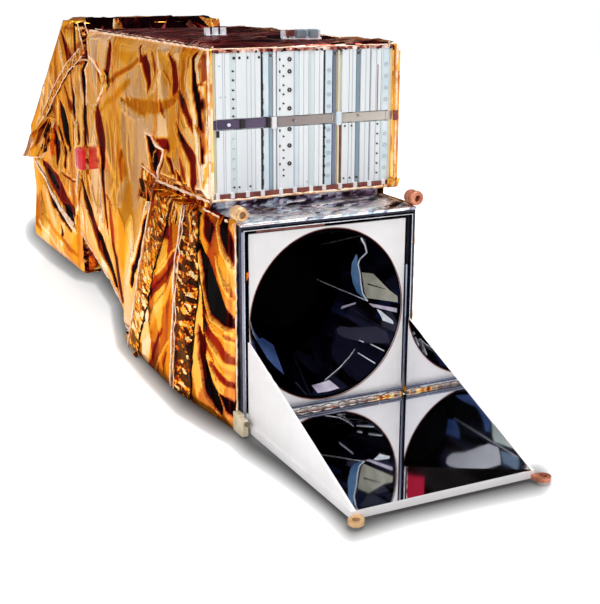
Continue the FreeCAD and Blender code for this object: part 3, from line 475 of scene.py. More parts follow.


# Folds of the amber film run from near black through rust to pale cream: painted reflections, shade and
# highlights.
amber = film_finish(
    "amber_film", metallic=0.95, roughness=0.22, flecks=(16, 2, 0.4, (1, 1, 0.55)), swing=0.035,
    colours=stops((0, 8, 1, 3), (.06, 40, 8, 8), (.12, 96, 28, 18), (.18, 142, 54, 32), (.28, 172, 82, 42),
                  (.38, 198, 108, 52), (.5, 222, 138, 58), (.62, 240, 170, 68), (.75, 250, 190, 86),
                  (.87, 252, 208, 142), (1, 255, 230, 200)),
    grain=(30, 2, 0.5, (1, 1, 0.5)), bump=(0.12, 1.5), rough=(None, 0.16, 0.24),
    tint=[(0.05, (0.14, 0.02, 0.02)), (0.3, (0.5, 0.2, 0.11)), (0.6, (0.88, 0.54, 0.27)),
          (0.9, (0.95, 0.68, 0.46))])
# The same film crushed under tape: fine facets painted bright and dark by their slopes, as highlights and
# shade.
crushed = film_finish(
    "crushed_film", metallic=0.9, roughness=0.24, flecks=(170, 2, 1.5), swing=0.12,
    colours=stops((0, 8, 0, 4), (.18, 74, 10, 12), (.36, 164, 48, 14), (.5, 222, 108, 20),
                  (.66, 248, 172, 40), (.82, 255, 208, 100), (1, 255, 236, 184)),
    grain=(220, 2, 1.0), bump=(0.3, 1.0), tint=(0.95, 0.6, 0.25), rough=(150, 0.2, 0.36))
# Upper film painted dark violet and black, as a dark reflection, between painted highlights on its creases.
violet = film_finish(
    "violet_film", metallic=0.85, roughness=0.22, flecks=(34, 4, 0.8, (0.5, 1, 1)), swing=0.16,
    colours=stops((0, 10, 2, 8), (.22, 52, 10, 18), (.42, 140, 52, 46), (.6, 184, 106, 94),
                  (.8, 222, 170, 150), (1, 250, 226, 214)),
    grain=(120, 3, 0.6), bump=(0.35, 1.0), tint=(0.5, 0.2, 0.2), rough=(60, 0.16, 0.34))
# Crumpled silvered film: painted shade of violet and grey in its depths, painted light of pale blue and
# pinkish white.
foil = film_finish(
    "silver_foil", metallic=0.8, roughness=0.24, flecks=(110, 3, 1.0, (0.5, 1, 1)), swing=0.1,
    colours=stops((0, 10, 6, 14), (.12, 54, 36, 56), (.28, 122, 100, 132), (.42, 158, 158, 178),
                  (.55, 168, 192, 208), (.7, 206, 222, 230), (.84, 244, 230, 234), (1, 255, 255, 255)),
    grain=(240, 3, 0.6), bump=(0.3, 0.8))
# Pale hem where the film is doubled and taped.
hem_tape = Finish("hem_tape", 0.3, 0.4)
hem_tape.colour(hem_tape.noise(120, 3, 0.7), stops((.25, 206, 128, 74), (.4, 246, 196, 146),
                                                   (.52, 255, 226, 198), (.65, 255, 238, 222),
                                                   (.8, 236, 180, 136)))
hem_tape.bump(hem_tape.noise(300), 0.4, 0.8)
tape = hem_tape.material

machined = coated("machined_metal", (150, 152, 156), (182, 184, 188), 40, metallic=0.85, rough=(0.32, 0.48))
white_coat = coated("white_coat", (232, 229, 230), (242, 240, 241), 25, rough=(0.42, 0.55), bump=0.06)
module_coat = coated("module_coat", (226, 231, 234), (242, 245, 246), 14, rough=(0.34, 0.5), bump=0.05,
                     stretch=(1.6, 1, 0.25))
bezel_coat = coated("bezel_coat", (14, 16, 34), (34, 38, 66), 30, metallic=0.4, rough=(0.28, 0.42))
bronze = coated("bronze", (206, 156, 104), (238, 200, 150), 90, metallic=0.5, rough=(0.25, 0.4))
copper_coat = coated("copper_coat", (166, 86, 62), (214, 142, 110), 90, metallic=0.5, rough=(0.25, 0.4))
plug_white = coated("plug_white", (206, 216, 228), (250, 250, 252), 160, rough=(0.3, 0.45), bump=0.05)
black_coat = coated("black_coat", (10, 10, 13), (20, 20, 25), 40, rough=(0.4, 0.6))
deep_black = coated("deep_black", (3, 3, 5), (7, 7, 10), 40, rough=(0.6, 0.8), bump=0,
                    Specular_IOR_Level=0.0)
cap_red = coated("cap_red", (196, 10, 28), (226, 24, 40), 45, rough=(0.22, 0.36), bump=0.2, Coat_Weight=0.4)
ivory = coated("ivory_coat", (206, 188, 150), (238, 228, 206), 70, metallic=0.2, rough=(0.3, 0.45))
plated = coated("plated", (216, 220, 226), (240, 242, 246), 80, metallic=0.55, rough=(0.22, 0.34))
# The cone's mirror is made dark grey: painted shade for the dark surroundings it reflects.
dark_mirror = coated("dark_mirror", (62, 62, 80), (80, 80, 100), 12, metallic=1.0, rough=(0.04, 0.08),
                     bump=0)
clear_mirror = coated("clear_mirror", (244, 246, 250), (252, 253, 255), 8, metallic=1.0, rough=(0.02, 0.05),
                      bump=0)
cream_coat = coated("cream_coat", (222, 204, 160), (240, 226, 190), 30, bump=0.05)
sage_coat = coated("sage_coat", (206, 220, 222), (226, 234, 234), 22, bump=0.05, stretch=(1, 1, 0.2))
pale_blue = coated("pale_blue", (204, 222, 232), (228, 238, 244), 30, rough=(0.3, 0.45), bump=0.05)
teal_coat = coated("teal_coat", (112, 136, 152), (158, 178, 190), 18, metallic=0.3, rough=(0.3, 0.45),
                   stretch=(1, 1, 0.2))
slate_coat = coated("slate_coat", (92, 98, 122), (136, 142, 160), 18, metallic=0.3, rough=(0.3, 0.45),
                    stretch=(1, 1, 0.2))
line_grey = coated("line_grey", (176, 184, 192), (200, 206, 212), 30, rough=(0.5, 0.6), bump=0)
maroon_coat = coated("maroon_coat", (92, 32, 32), (150, 76, 62), 120, rough=(0.35, 0.5))
olive = coated("olive_coat", (62, 60, 40), (128, 122, 88), 90, rough=(0.35, 0.5))
steel = coated("pale_steel", (112, 118, 142), (164, 170, 188), 30, metallic=0.6, rough=(0.2, 0.32),
               stretch=(1, 1, 0.2))
stone_foil = coated("stone_foil", (112, 98, 100), (206, 194, 184), 260, metallic=0.6, rough=(0.22, 0.34),
                    bump=0.3)
rust_foil = coated("rust_foil", (96, 30, 34), (176, 84, 66), 260, metallic=0.6, rough=(0.22, 0.34), bump=0.3)
# Colours of painted reflections and highlights inside the cone.
blue_gloss = coated("blue_gloss", (66, 106, 150), (120, 160, 204), 30, rough=(0.3, 0.4), bump=0)
stone_painted_reflection = coated("stone_painted_reflection", (140, 140, 128), (186, 184, 168), 60, rough=(0.4, 0.5), bump=0)
violet_painted_reflection = coated("violet_painted_reflection", (150, 140, 168), (226, 218, 236), 50, rough=(0.3, 0.45), bump=0)

# The straps carry a painted reflection: dull violet at their left end and pale at their right.
along_strap = Finish("strap_metal", 0.6, 0.32)
reach = along_strap.add("ShaderNodeSeparateXYZ", {"Vector": along_strap.place})["X"]
along_strap.colour(along_strap.flecked(along_strap.span(reach, -0.1, 0.1), along_strap.noise(60), 0.05),
                   stops((0, 74, 62, 92), (.28, 96, 84, 108), (.36, 146, 134, 134), (.66, 164, 154, 148),
                         (.74, 188, 180, 170), (1, 206, 200, 192)))
strap_metal = along_strap.material

for finish, names in {
        machined: "cooler_housing electronics_housing optics_housing scanner_housing feet_front feet_rear "
                  "motor_cap scan_hub scan_motor",
        ivory: "hinge_bracket_left hinge_bracket_right",
        white_coat: "radiator_plate shield_panel shield_wing_left shield_wing_right",
        module_coat: "modules_left modules_middle modules_right",
        bezel_coat: "cooler_bezel radiator_posts",
        strap_metal: "module_straps",
        bronze: "latch_left latch_ring_left",
        copper_coat: "latch_right latch_ring_right",
        deep_black: "cold_stage cooler_patch",
        black_coat: "secondary_spider telescope_barrel",
        plug_white: "top_plug_front top_plug_rear",
        dark_mirror: "cooler_cone",
        clear_mirror: "primary_mirror scan_mirror shield_mirror wing_mirror_left wing_mirror_right"}.items():
    for name in names.split():
        for place in nodes[name].material_slots:
            place.material = finish


# ---------------------------------------------------------------- pieces

def linked(name, data):
    """A new object in the scene from a mesh under construction, a camera or a lamp."""
    if isinstance(data, bmesh.types.BMesh):
        built, data = data, bpy.data.meshes.new(name)
        built.to_mesh(data)
        built.free()
    piece = bpy.data.objects.new(name, data)
    bpy.context.scene.collection.objects.link(piece)
    return piece


def finished(name, bm, finish, body="root", smooth=True, instead_of=()):
    piece = linked(name, bm)
    piece.data.materials.append(finish)
    for face in piece.data.polygons:
        face.use_smooth = smooth
    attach(piece, body)
    if instead_of:
        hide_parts(*instead_of)
    return piece


def points_of(geometry):
    return [g for g in geometry if isinstance(g, bmesh.types.BMVert)]


def face_out(bm, outward):
    """Turns a sheet's faces outwards."""
    bmesh.ops.recalc_face_normals(bm, faces=bm.faces)
    if sum(f.normal.dot(outward) * f.calc_area() for f in bm.faces) < 0:
        bmesh.ops.reverse_faces(bm, faces=bm.faces)


def outer_skin(node, outward, first, second, step):
    """A blanket's outward faces, cut into small squares along two directions, and their outline."""
    bm = bmesh.new()
    bm.from_mesh(nodes[node].data)
    bmesh.ops.remove_doubles(bm, verts=bm.verts, dist=1e-6)
    bm.normal_update()
    bmesh.ops.delete(bm, geom=[f for f in bm.faces if f.normal.dot(outward) < 0.6], context="FACES")
    bmesh.ops.dissolve_limit(bm, angle_limit=0.0005, verts=bm.verts, edges=bm.edges)
    rim = [e for e in bm.edges if e.is_boundary]
    outline = [[(v.co.dot(first) / MM, v.co.dot(second) / MM) for v in e.verts] for e in rim]
    for direction, pitch in zip((first, second), step):
        reach = [v.co.dot(direction) for v in bm.verts]
        count = max(2, round((max(reach) - min(reach)) / (pitch * MM)))
        for k in range(1, count):
            at = min(reach) + (max(reach) - min(reach)) * k / count
            bmesh.ops.bisect_plane(bm, geom=bm.verts[:] + bm.edges[:] + bm.faces[:], dist=1e-6,
                                   plane_co=direction * at, plane_no=direction)
    bmesh.ops.triangulate(bm, faces=[f for f in bm.faces if len(f.verts) > 4])
    return bm, outline


skins, cuts = {}, {}


def film(place, outward, shape, finish=amber, node=None, step=(3, 3), hem=4.0, slot="gold_blanket",
         rests_on="optics_housing", held="stretched", keep=None):
    """A film blanket over one node's outer face: shape(a, b, gap) gives its height in mm and its tone."""
    name, node = "film_" + place, node or "blanket_" + place
    first = BACK if outward.x else RIGHT
    second = Vector((0, outward.z, -outward.y)) if outward.z else UP
    bm, outline = outer_skin(node, outward, first, second, step)
    if keep:
        bmesh.ops.delete(bm, geom=[f for f in bm.faces if not keep(f.calc_center_median())], context="FACES")
    around = sum(e.calc_length() for e in bm.edges if e.is_boundary)
    area = sum(f.calc_area() for f in bm.faces) + around * hem * MM
    bm.verts.ensure_lookup_table()
    spots = np.array([v.co for v in bm.verts]) / MM
    a, b = spots @ np.array(first), spots @ np.array(second)
    gap = np.min([gap_to(a, b, *line)[0] for line in outline], axis=0)
    height, tone = shape(a, b, gap)
    layer = bm.verts.layers.float.new("tone")
    for vertex, rise, dark in zip(bm.verts, height * np.clip(gap / 9.0, 0, 1), tone):
        vertex.co += outward * float(rise) * MM
        vertex[layer] = float(dark)
    skins[name] = BVHTree.FromBMesh(bm)
    turned = bmesh.ops.extrude_edge_only(bm, edges=[e for e in bm.edges if e.is_boundary])["geom"]
    bmesh.ops.translate(bm, verts=points_of(turned), vec=-outward * hem * MM)
    face_out(bm, outward)
    piece = finished(name, bm, finish, instead_of=(node,))
    wide, tall, cut = (np.ptp(a) + 2 * hem) * MM * 1.03, (np.ptp(b) + 2 * hem) * MM * 1.03, area * 1.05
    if cut < 0.35 * wide * tall:
        tall = cut / (0.6 * wide)
    cuts[name] = dict(obj=piece, flat=(wide, tall), held=held, rests_on=[rests_on],
                      area=min(cut, wide * tall), with_pieces=[])


def sewn(name, bm, outward, finish, wide, tall, of, held="stretched"):
    """Finishes a loose sheet and notes what it is cut to, or which blanket a narrow one is sewn to."""
    face_out(bm, outward)
    area = sum(f.calc_area() for f in bm.faces)
    piece = finished(name, bm, finish)
    if min(wide, tall) < 10:
        cuts[of]["with_pieces"].append(piece)
    else:
        grow = max(1.0, math.sqrt(area / MM / MM / (wide * tall))) * MM
        cuts[name] = dict(obj=piece, flat=(wide * grow, tall * grow), held=held, rests_on=[of], area=area,
                          with_pieces=[])


def on_skin(name, point, lift=0.0):
    """The place in metres where a blanket of the left side lies beside a point in millimetres."""
    at = point * MM
    hit = skins[name].ray_cast(at + LEFT * 0.1, RIGHT)[0]
    return (hit if hit else at) + LEFT * lift * MM


def filled_in(points, pitch):
    """The same line with points about `pitch` apart, where a pitch is given."""
    path = []
    for start, end in zip(points, points[1:]):
        count = max(1, int((end - start).length / pitch)) if pitch else 1
        path += [start.lerp(end, k / count) for k in range(count)]
    return path + points[-1:]


def bead(name, points, radius, finish, wobble=0.0, seed=1, sides=2, closed=False):
    """A thin hem, cord or rim that follows points given in metres."""
    curve = bpy.data.curves.new(name, "CURVE")
    curve.dimensions = "3D"
    curve.bevel_depth = radius * MM
    curve.bevel_resolution = sides
    curve.use_fill_caps = True
    pick = np.random.default_rng(seed)
    path = filled_in(points, 6 * MM if wobble else 0)
    line = curve.splines.new("POLY")
    line.use_cyclic_u = closed
    line.points.add(len(path) - 1)
    for point, place in zip(line.points, path):
        jog = Vector(pick.normal(0, wobble, 3)) * MM if wobble else Vector()
        point.co = (*(place + jog), 1)
        point.radius = 1 + (pick.normal(0, 0.22) if wobble else 0)
    maker = bpy.data.objects.new(name + "_line", curve)
    bm = bmesh.new()
    bm.from_mesh(bpy.data.meshes.new_from_object(maker))
    bpy.data.objects.remove(maker)
    bmesh.ops.remove_doubles(bm, verts=bm.verts, dist=1e-6)
    return finished(name, bm, finish)


def hem(name, points, radius, seed, wobble=0.22, over=None, out=0.2, of="film_body_left"):
    """A pale rolled hem through millimetre points, laid on a blanket where one is named."""
    path = filled_in([Vector(p) for p in points], 8 if over else 0)
    path = [on_skin(over, p, out) if over else p * MM for p in path]
    cuts[over or of]["with_pieces"].append(bead(name, path, radius, tape, wobble=wobble,
                                                seed=seed))


def unit_sheet(columns, rows):
    """A flat sheet of squares with a layer for its tones, and each point's share of its length and width."""
    bm = bmesh.new()
    bmesh.ops.create_grid(bm, x_segments=columns, y_segments=rows, size=0.5)
    along, across = np.array([(v.co.x + 0.5, v.co.y + 0.5) for v in bm.verts]).T
    return bm, bm.verts.layers.float.new("tone"), along, across


def strip(name, path, width, finish, seed, rough=1.2, tone=0.55, swing=0.35, step=1.6, grain=5.0, lift=1.0,
          outward=LEFT, over=None, of="film_body_left"):
    """A tape or crushed strip along a path of millimetre points, with fine creases."""
    points = [Vector(p) for p in path]
    lengths = [0.0]
    for p, q in zip(points, points[1:]):
        lengths.append(lengths[-1] + (q - p).length)
    total = lengths[-1]
    bm, layer, along, across = unit_sheet(max(4, int(total / step)), max(3, int(width / step)))
    along, across = along * total, (across - 0.5) * width
    fine, lean_s, lean_t = facets(along, across, grain, grain * 1.5, seed, 0.34 * rough * grain / 5)
    broad, wide_s, _ = facets(along, across, grain * 2.6, grain * 4, seed + 1, 0.4 * rough * grain / 5, 70)
    # Painted shade and highlight, by the facets' slopes.
    shades = tone + swing * (0.42 * lean_s + 0.22 * lean_t + 0.3 * wide_s
                             + drift(along, across, 22, seed + 4))
    edge = drift(along, along * 0, 7, seed + 5) * 2.0
    for vertex, s, t, rise, dark, jog in zip(bm.verts, along, across, fine + broad, shades, edge):
        k = max(i for i in range(len(points) - 1) if lengths[i] <= s + 1e-9)
        run = (s - lengths[k]) / max(lengths[k + 1] - lengths[k], 1e-6)
        side = (points[k + 1] - points[k]).normalized().cross(outward).normalized()
        at = points[k].lerp(points[k + 1], run) + side * (t + (jog if abs(t) > width * 0.42 else 0))
        if over:
            at = on_skin(over, at) / MM
        vertex.co = (at + outward * (lift + float(rise))) * MM
        vertex[layer] = float(dark)
    sewn(name, bm, outward, finish, width, total, over or of)


def quilt(name, corners, finish, seed, grain=6.0, rise=0.8, tone=0.5, swing=0.3, step=1.6, lift=0.8,
          outward=FRONT, of="film_body_left", held="laid"):
    """A loose piece of crumpled film between four corners in millimetres, in order round its edge."""
    p, q, r, s = (Vector(c) for c in corners)
    wide, tall = ((q - p).length + (r - s).length) / 2, ((s - p).length + (r - q).length) / 2
    bm, layer, along, across = unit_sheet(max(3, int(wide / step)), max(3, int(tall / step)))
    a, b = along * wide, across * tall
    fine, fine_s, fine_t = facets(a, b, grain, grain * 1.6, seed, rise)
    broad, broad_s, _ = facets(a, b, grain * 2.5, grain * 4, seed + 1, rise * 1.2, 60)
    # Painted shade and highlight, by the facets' slopes.
    shades = tone + swing * (0.35 * fine_s + 0.2 * fine_t + 0.35 * broad_s + drift(a, b, 18, seed + 2))
    for vertex, u, v, relief, dark in zip(bm.verts, along, across, fine + broad, shades):
        at = p.lerp(q, u).lerp(s.lerp(r, u), v)
        vertex.co = (at + outward * (lift + float(relief))) * MM
        vertex[layer] = float(dark)
    sewn(name, bm, outward, finish, wide, tall, of, held)


# ---------------------------------------------------------------- blankets

def side_shape(folds, seed, ground=0.68, gathers=True):
    """The shape of a stretched side panel: a loose belly, its folds and small gathers under the hem."""
    def shape(a, b, gap):
        bent_a = a + 5 * drift(a, b, 28, seed) + 2 * drift(a, b, 9, seed + 1)
        bent_b = b + 6 * drift(a, b, 31, seed + 2)
        tone, mask, height = fold_paths(bent_a, bent_b, folds)
        soft_a = a + 7 * drift(a, b, 55, seed + 10)
        big, big_s, big_t = facets(soft_a, b, 34, 95, seed + 3, 1.7)
        mid, mid_s, mid_t = facets(soft_a, b, 13, 40, seed + 4, 0.6, 84)
        patch = np.clip(drift(a, b, 60, seed + 5) * 4, 0, 1)
        # The ground tone follows the facets' slopes: painted shade and highlight, as if lit from one side.
        base = (ground + 0.16 * drift(a, b, 65, seed + 6) + 0.07 * big_s + 0.03 * big_t
                + patch * (0.05 * mid_s + 0.025 * mid_t))
        tone = tone * mask + base * (1 - mask) + mask * 0.02 * big_s
        # The gathers are painted lighter on their ridges and darker in their valleys.
        if gathers:
            gathered = pleats(a, b * 0.18, 8, seed + 7) * np.clip(1 - gap / 16, 0, 1)
            tone, height = tone + 0.3 * gathered, height + 0.8 * gathered
        belly = 3.2 * (drift(a, b, 80, seed + 8) + 0.5)
        return 2.5 + height * 0.3 + belly + big + patch * mid, np.clip(tone, 0, 1)
    return shape


def top_shape(seed, dark, along=10):
    """Loose upper film painted dark, a painted reflection, with painted highlights on creases and a paler
    border.
    """
    def shape(a, b, gap):
        wide, wide_s, wide_t = facets(a, b, 16, 60, seed, 1.3, along)
        small, small_s, _ = facets(a, b, 6, 18, seed + 1, 0.6, along)
        near = np.clip(1 - gap / 22, 0, 1)
        tone = (dark + 0.12 * wide_s + 0.05 * wide_t + (0.06 + 0.16 * near) * small_s + 0.3 * near
                + 0.24 * drift(a, b, 34, seed + 2))
        return 1.5 + wide + small, np.clip(tone, 0, 1)
    return shape


def deck_shape(a, b, gap):
    """The deck's foil with painted shade and light: violet and black under the tower, pale blue, pinkish
    white in front.
    """
    crumple, lean_s, lean_t = facets(a, b, 7, 16, 62, 0.8, 4)
    wide, wide_s, _ = facets(a, b, 16, 50, 63, 1.2, 4)
    fine, fine_s, fine_t = facets(a, b, 3.2, 9, 65, 0.4, 8)
    base = np.interp((b - b.min()) / np.ptp(b), [0, .14, .3, .55, .72, .86, 1],
                     [.86, .8, .58, .62, .44, .26, .2])
    tone = (base + 0.2 * lean_s + 0.1 * lean_t + 0.16 * wide_s + 0.12 * fine_s + 0.08 * fine_t
            + 0.3 * drift(a, b, 26, 64))
    return 1.2 + crumple + wide + fine, np.clip(tone, 0, 1)


draped = dict(rests_on="cooler_housing", held="draped", hem=2.0)
round_scanner, round_tower = dict(rests_on="scanner_housing"), dict(rests_on="electronics_housing")
near_folds = placed(LEFT_FOLDS, side_low, side_high, 1.25)
# The skirt's folds are dimmed and its ground set low: painted shade, darker than the body.
skirt_folds = placed(SKIRT_FOLDS, skirt_low, skirt_high, 1.8, 0.84)
far_folds = chance_folds(5, body_low.yz, side_high.yz, 80, spread=12)

film("body_left", LEFT, side_shape(near_folds, 11, ground=0.8), step=(2.8, 2.4))
film("scanner_left", LEFT, side_shape(near_folds, 11, ground=0.66), step=(2.8, 2.4), **round_scanner)
film("cooler_left", LEFT, side_shape(skirt_folds, 23, ground=0.5), step=(2.4, 2.2), **draped)
film("body_right", RIGHT, side_shape(far_folds, 31))
film("scanner_right", RIGHT, side_shape(far_folds, 31), **round_scanner)
film("cooler_right", RIGHT, side_shape(chance_folds(6, (-292, 2), (-38, 213), 30), 37), **draped)
film("scanner_front", FRONT, side_shape(chance_folds(7, (-100, 35), (100, 100), 12, spread=50), 41,
                                        ground=0.3), crushed,
     keep=lambda at: at.z < 0.2, **round_scanner)
film("scanner_rear", BACK, side_shape(chance_folds(8, (-100, 35), (100, 214), 26, spread=40), 43),
     **round_scanner)
film("body_back", BACK, side_shape(chance_folds(9, (-100, 330), (100, 368), 9), 47), node="blanket_back",
     **round_tower)
film("top", UP, top_shape(51, dark=0.4), violet, step=(2.6, 3.2), held="laid",
     keep=lambda at: at.y > -0.2235, **round_tower)
film("gap_top", UP, top_shape(53, dark=0.3), violet, held="laid")
film("scanner_brow", FRONT, top_shape(55, dark=0.12, along=4), violet, node="blanket_scanner_front",
     keep=lambda at: at.z > 0.2 and at.x > -0.087, **round_scanner)
film("scanner_corner", FRONT, side_shape(chance_folds(14, (-100, 320), (-80, 370), 3), 59, gathers=False),
     node="blanket_scanner_front", keep=lambda at: at.z > 0.2 and at.x <= -0.087, **round_scanner)
film("scanner_slope", Vector((0, 376 - 217, 495 - 288)).normalized(),
     side_shape(chance_folds(12, (-100, -20), (100, 260), 40, along=85), 57), **round_scanner)
film("deck", Vector((0, -1, 1)).normalized(), deck_shape, foil, node="cooler_deck", step=(2, 2), hem=2.0,
     slot="silver_film", rests_on="cooler_housing", held="laid")


# ---------------------------------------------------------------- tape, crushed strips and hems

def spots_on(low, high):
    """Places on a left panel from shares of its length and height, and how far out they are in mm."""
    def spots(*rows):
        return [Vector((low.x - sum(out), low.y + u * (high.y - low.y), low.z + v * (high.z - low.z)))
                for u, v, *out in rows]
    return spots


on_side, on_skirt = spots_on(side_low, side_high), spots_on(skirt_low, skirt_high)
face, front_y, back_y = side_low.x, body_low.y, body_high.y
tower_back, tower_top, tower_base = tower_high.y, body_high.z, cooler_high.z + 11.5
step_z, base_end = 330, (-78, 217.5)
keel = ((back_y, 92), (117, 52), (66, 29), (66, 8), (-30, 8))

for side, x, inner in (("left", face, face + 7), ("right", -face, -face - 7)):
    body = "film_body_" + side
    for part, path, radius, seed, wobble, of in (
            ("top", [(x, front_y, tower_top), (x, tower_back, tower_top)], 1.2, 3, .22, "film_top"),
            ("inner", [(inner, front_y + 4, tower_top + 1), (inner, tower_back, tower_top + 1)], .8, 4, .5,
             "film_top"),
            ("front", [(x, front_y, tower_base), (x, front_y, tower_top)], 1.3, 5, .15, body),
            ("base", [(x, front_y, tower_base), (x - math.copysign(3, inner - x), *base_end)], 1.5, 9, .3,
             body),
            ("back", [(x, tower_back, tower_top), (x, tower_back, step_z), (x, back_y, step_z)], 1, 10, .22,
             body)):
        hem(f"hem_tower_{part}_{side}", path, radius, seed=seed, wobble=wobble, of=of)
    hem("hem_keel_" + side, [(x, *corner) for corner in keel], 1.5, seed=11, of=body)
hem("hem_tower_front_top", [(face, front_y + 2, tower_top), (-face, front_y + 2, tower_top)], .55, seed=6,
    wobble=.25, of="film_top")
hem("hem_tower_front_base", [(face, front_y, tower_base), (-face, front_y, tower_base)], 1.4, seed=7,
    wobble=.25, of="film_deck")

# Left side: the taped seam of the scanner blanket, its loose flap, and the seams over the body.
at_scanner = dict(of="film_scanner_left")
flap = dict(outward=LEFT, held="hung", **at_scanner)
seam_path = on_side((.575, .903), (.672, .835), (.775, .73), (.872, .614))
strip("tape_scanner_left", seam_path, 12, crushed, seed=61, rough=1.0, tone=.5, swing=.5, step=1.4, grain=3,
      lift=6, **at_scanner)
for part, shift, seed in (("upper", 6.5, 66), ("lower", -6.5, 53)):
    hem("tape_scanner_edge_" + part, [p + Vector((-6.5, shift * .6, shift * .75)) for p in seam_path], .6,
        seed=seed, wobble=.3, **at_scanner)
quilt("flap_scanner_left", [(-112, 404, 236), (-113, 338, 240), (-121, 376, 180), (-129, 476, 168)], amber,
      seed=70, grain=15, rise=1.6, tone=.82, swing=.4, lift=1, **flap)
quilt("flap_scanner_fold", [(-114, 348, 238), (-114, 333, 222), (-120, 352, 192), (-122, 378, 181)], crushed,
      seed=73, grain=7, rise=1.0, tone=.46, swing=.4, lift=2.5, **flap)
hem("flap_edge", [(-112, 404, 237), (-129, 477, 168), (-122, 377, 179), (-116, 338, 222)], .6, seed=74,
    wobble=.3, **at_scanner)
# A pale tape ribbon below the flap: a painted highlight along the fold.
strip("highlight_band_scanner_left", [(face - 1, y, z) for y, z in ((478, 160), (407, 133), (344, 114), (279, 95))], 6,
      tape, seed=75, rough=0.3, lift=0.8, over="film_scanner_left")
for part, radius, seed, out, spots in (
        ("scanner_upper", 1.0, 12, .2, ((.55, .913), (.556, .845), (.563, .723))),
        ("scanner_lower", 1.1, 13, .2, ((.634, .466), (.661, .352), (.688, .262))),
        ("ridge_upper", 1.5, 14, 1, ((.527, .902), (.494, .874), (.462, .842))),
        ("ridge_lower", 1.3, 15, 1, ((.447, .815), (.473, .775), (.502, .736)))):
    hem("seam_" + part, on_side(*spots), radius, seed=seed, over="film_body_left", out=out)
strip("crumple_ridge", on_side((.462, .848), (.437, .826), (.455, .795)), 13, crushed, seed=64, rough=2.2,
      tone=.6, step=1.3, lift=4.5)

# The open seam of the body blanket above the cooler: its dark mouth, a painted reflection in the fold tones,
# has pale taped lips.
hem("lip_upper", on_side((.241, .704), (.205, .686), (.166, .672), (.181, .633), (.196, .599), (.211, .566)),
    1.6, seed=16, wobble=.45, over="film_body_left", out=1.5)
hem("lip_lower", on_side((.28, .597), (.242, .583), (.211, .568)), .9, seed=17, wobble=.22,
    over="film_body_left", out=.8)

# Cooler skirt: crushed film under tape down its rear edge and its middle, and pale hems.
crush = dict(grain=4, over="film_cooler_left")
strip("crush_skirt_rear", on_skirt((.6, .985), (.686, .716), (.812, .398), (.93, .01)), 40, crushed, seed=65,
      rough=1.2, tone=.42, swing=.55, step=1.5, lift=1.2, **crush)
strip("crush_skirt_middle", on_skirt((.331, .985), (.341, .717), (.354, .352), (.363, .01)), 46, crushed,
      seed=66, rough=1.2, tone=.12, swing=.6, step=1.5, lift=1.4, **crush)
strip("crush_skirt_upper", on_skirt((.62, .93), (.3, .93)), 30, crushed, seed=67, rough=1.2, tone=.42,
      swing=.5, lift=1.3, **crush)
hem("hem_skirt_rear", on_skirt((.75, 1.0, -17), (.86, .55, -8), (1.0, .0, -2)), 1.4, seed=18, wobble=.4,
    of="film_cooler_left")
hem("hem_skirt_middle", on_skirt((.426, .97), (.43, .5), (.45, .02)), 1.1, seed=19, wobble=.22,
    over="film_cooler_left", out=2.2)
hem("hem_skirt_inner", on_skirt((.395, .97), (.405, .5), (.42, .02)), .8, seed=20, wobble=.6,
    over="film_cooler_left", out=2.4)
for side, outward, x, back in (("left", LEFT, face, -34), ("right", RIGHT, cooler_high.x + 2, -38)):
    out, skirt = 2.5 * outward.x, dict(of="film_cooler_" + side)
    hem("hem_skirt_top_" + side, [(x + out, -292, 209), (x + out, -250, 210), (x + out, -216, 211)], 1.4,
        seed=21, wobble=.4, **skirt)
    strip("fold_over_" + side, [(x, -230, 215), (x, back, 215)], 15, amber, seed=68, rough=.8, tone=.42,
          swing=.3, lift=1.2, outward=outward, **skirt)
    hem("hem_skirt_front_" + side, [(x + out, -292.5, 12), (x + out * .6, -292.5, 210)], 1.0, seed=22,
        wobble=.3, **skirt)

# Scanner front, under the rising hem and beside the dark brow, and the top's folded edges.
at_corner, at_top = dict(of="film_scanner_corner"), dict(outward=UP, of="film_top")
strip("crush_scanner_front", [(-93, 252.5, 84), (-92, 252.5, 33)], 24, crushed, seed=69, rough=1.0, tone=.36,
      swing=.5, step=1.5, grain=4, lift=1.2, outward=FRONT, of="film_scanner_front")
strip("tape_brow", [(-94, 247.5, 375), (-85, 249, 338)], 11, crushed, seed=76, rough=1.0, tone=.5, swing=.5,
      step=1.4, grain=3, outward=FRONT, **at_corner)
roof_z, roof_front, roof_back = 368.8, -222, 162
strip("fold_top_right", [(98, roof_front, roof_z), (98, roof_back, roof_z)], 13, amber, seed=77, rough=1.2,
      tone=.34, swing=.5, step=2.6, grain=7, **at_top)
strip("fold_top_left", [(-101.5, roof_front, roof_z), (-101.5, roof_back, roof_z)], 7, violet, seed=78,
      rough=1.4, tone=.6, swing=.5, step=1.8, grain=3, **at_top)
quilt("fold_top_corner", [(x, y, roof_z - 0.2) for x, y in (
    (30, -224), (104, -224), (104, -120), (70, -150))],
      amber, seed=79, grain=12, rise=1.0, tone=.34, swing=.5, step=2.6, lift=1, **at_top)
hem("tape_brow_outer", [(-99, 246, 375), (-90, 248, 334)], .9, seed=23, **at_corner)
hem("tape_brow_inner", [(-89, 246, 375), (-80, 248, 342)], .9, seed=24, **at_corner)


# ---------------------------------------------------------------- details of the instrument's front

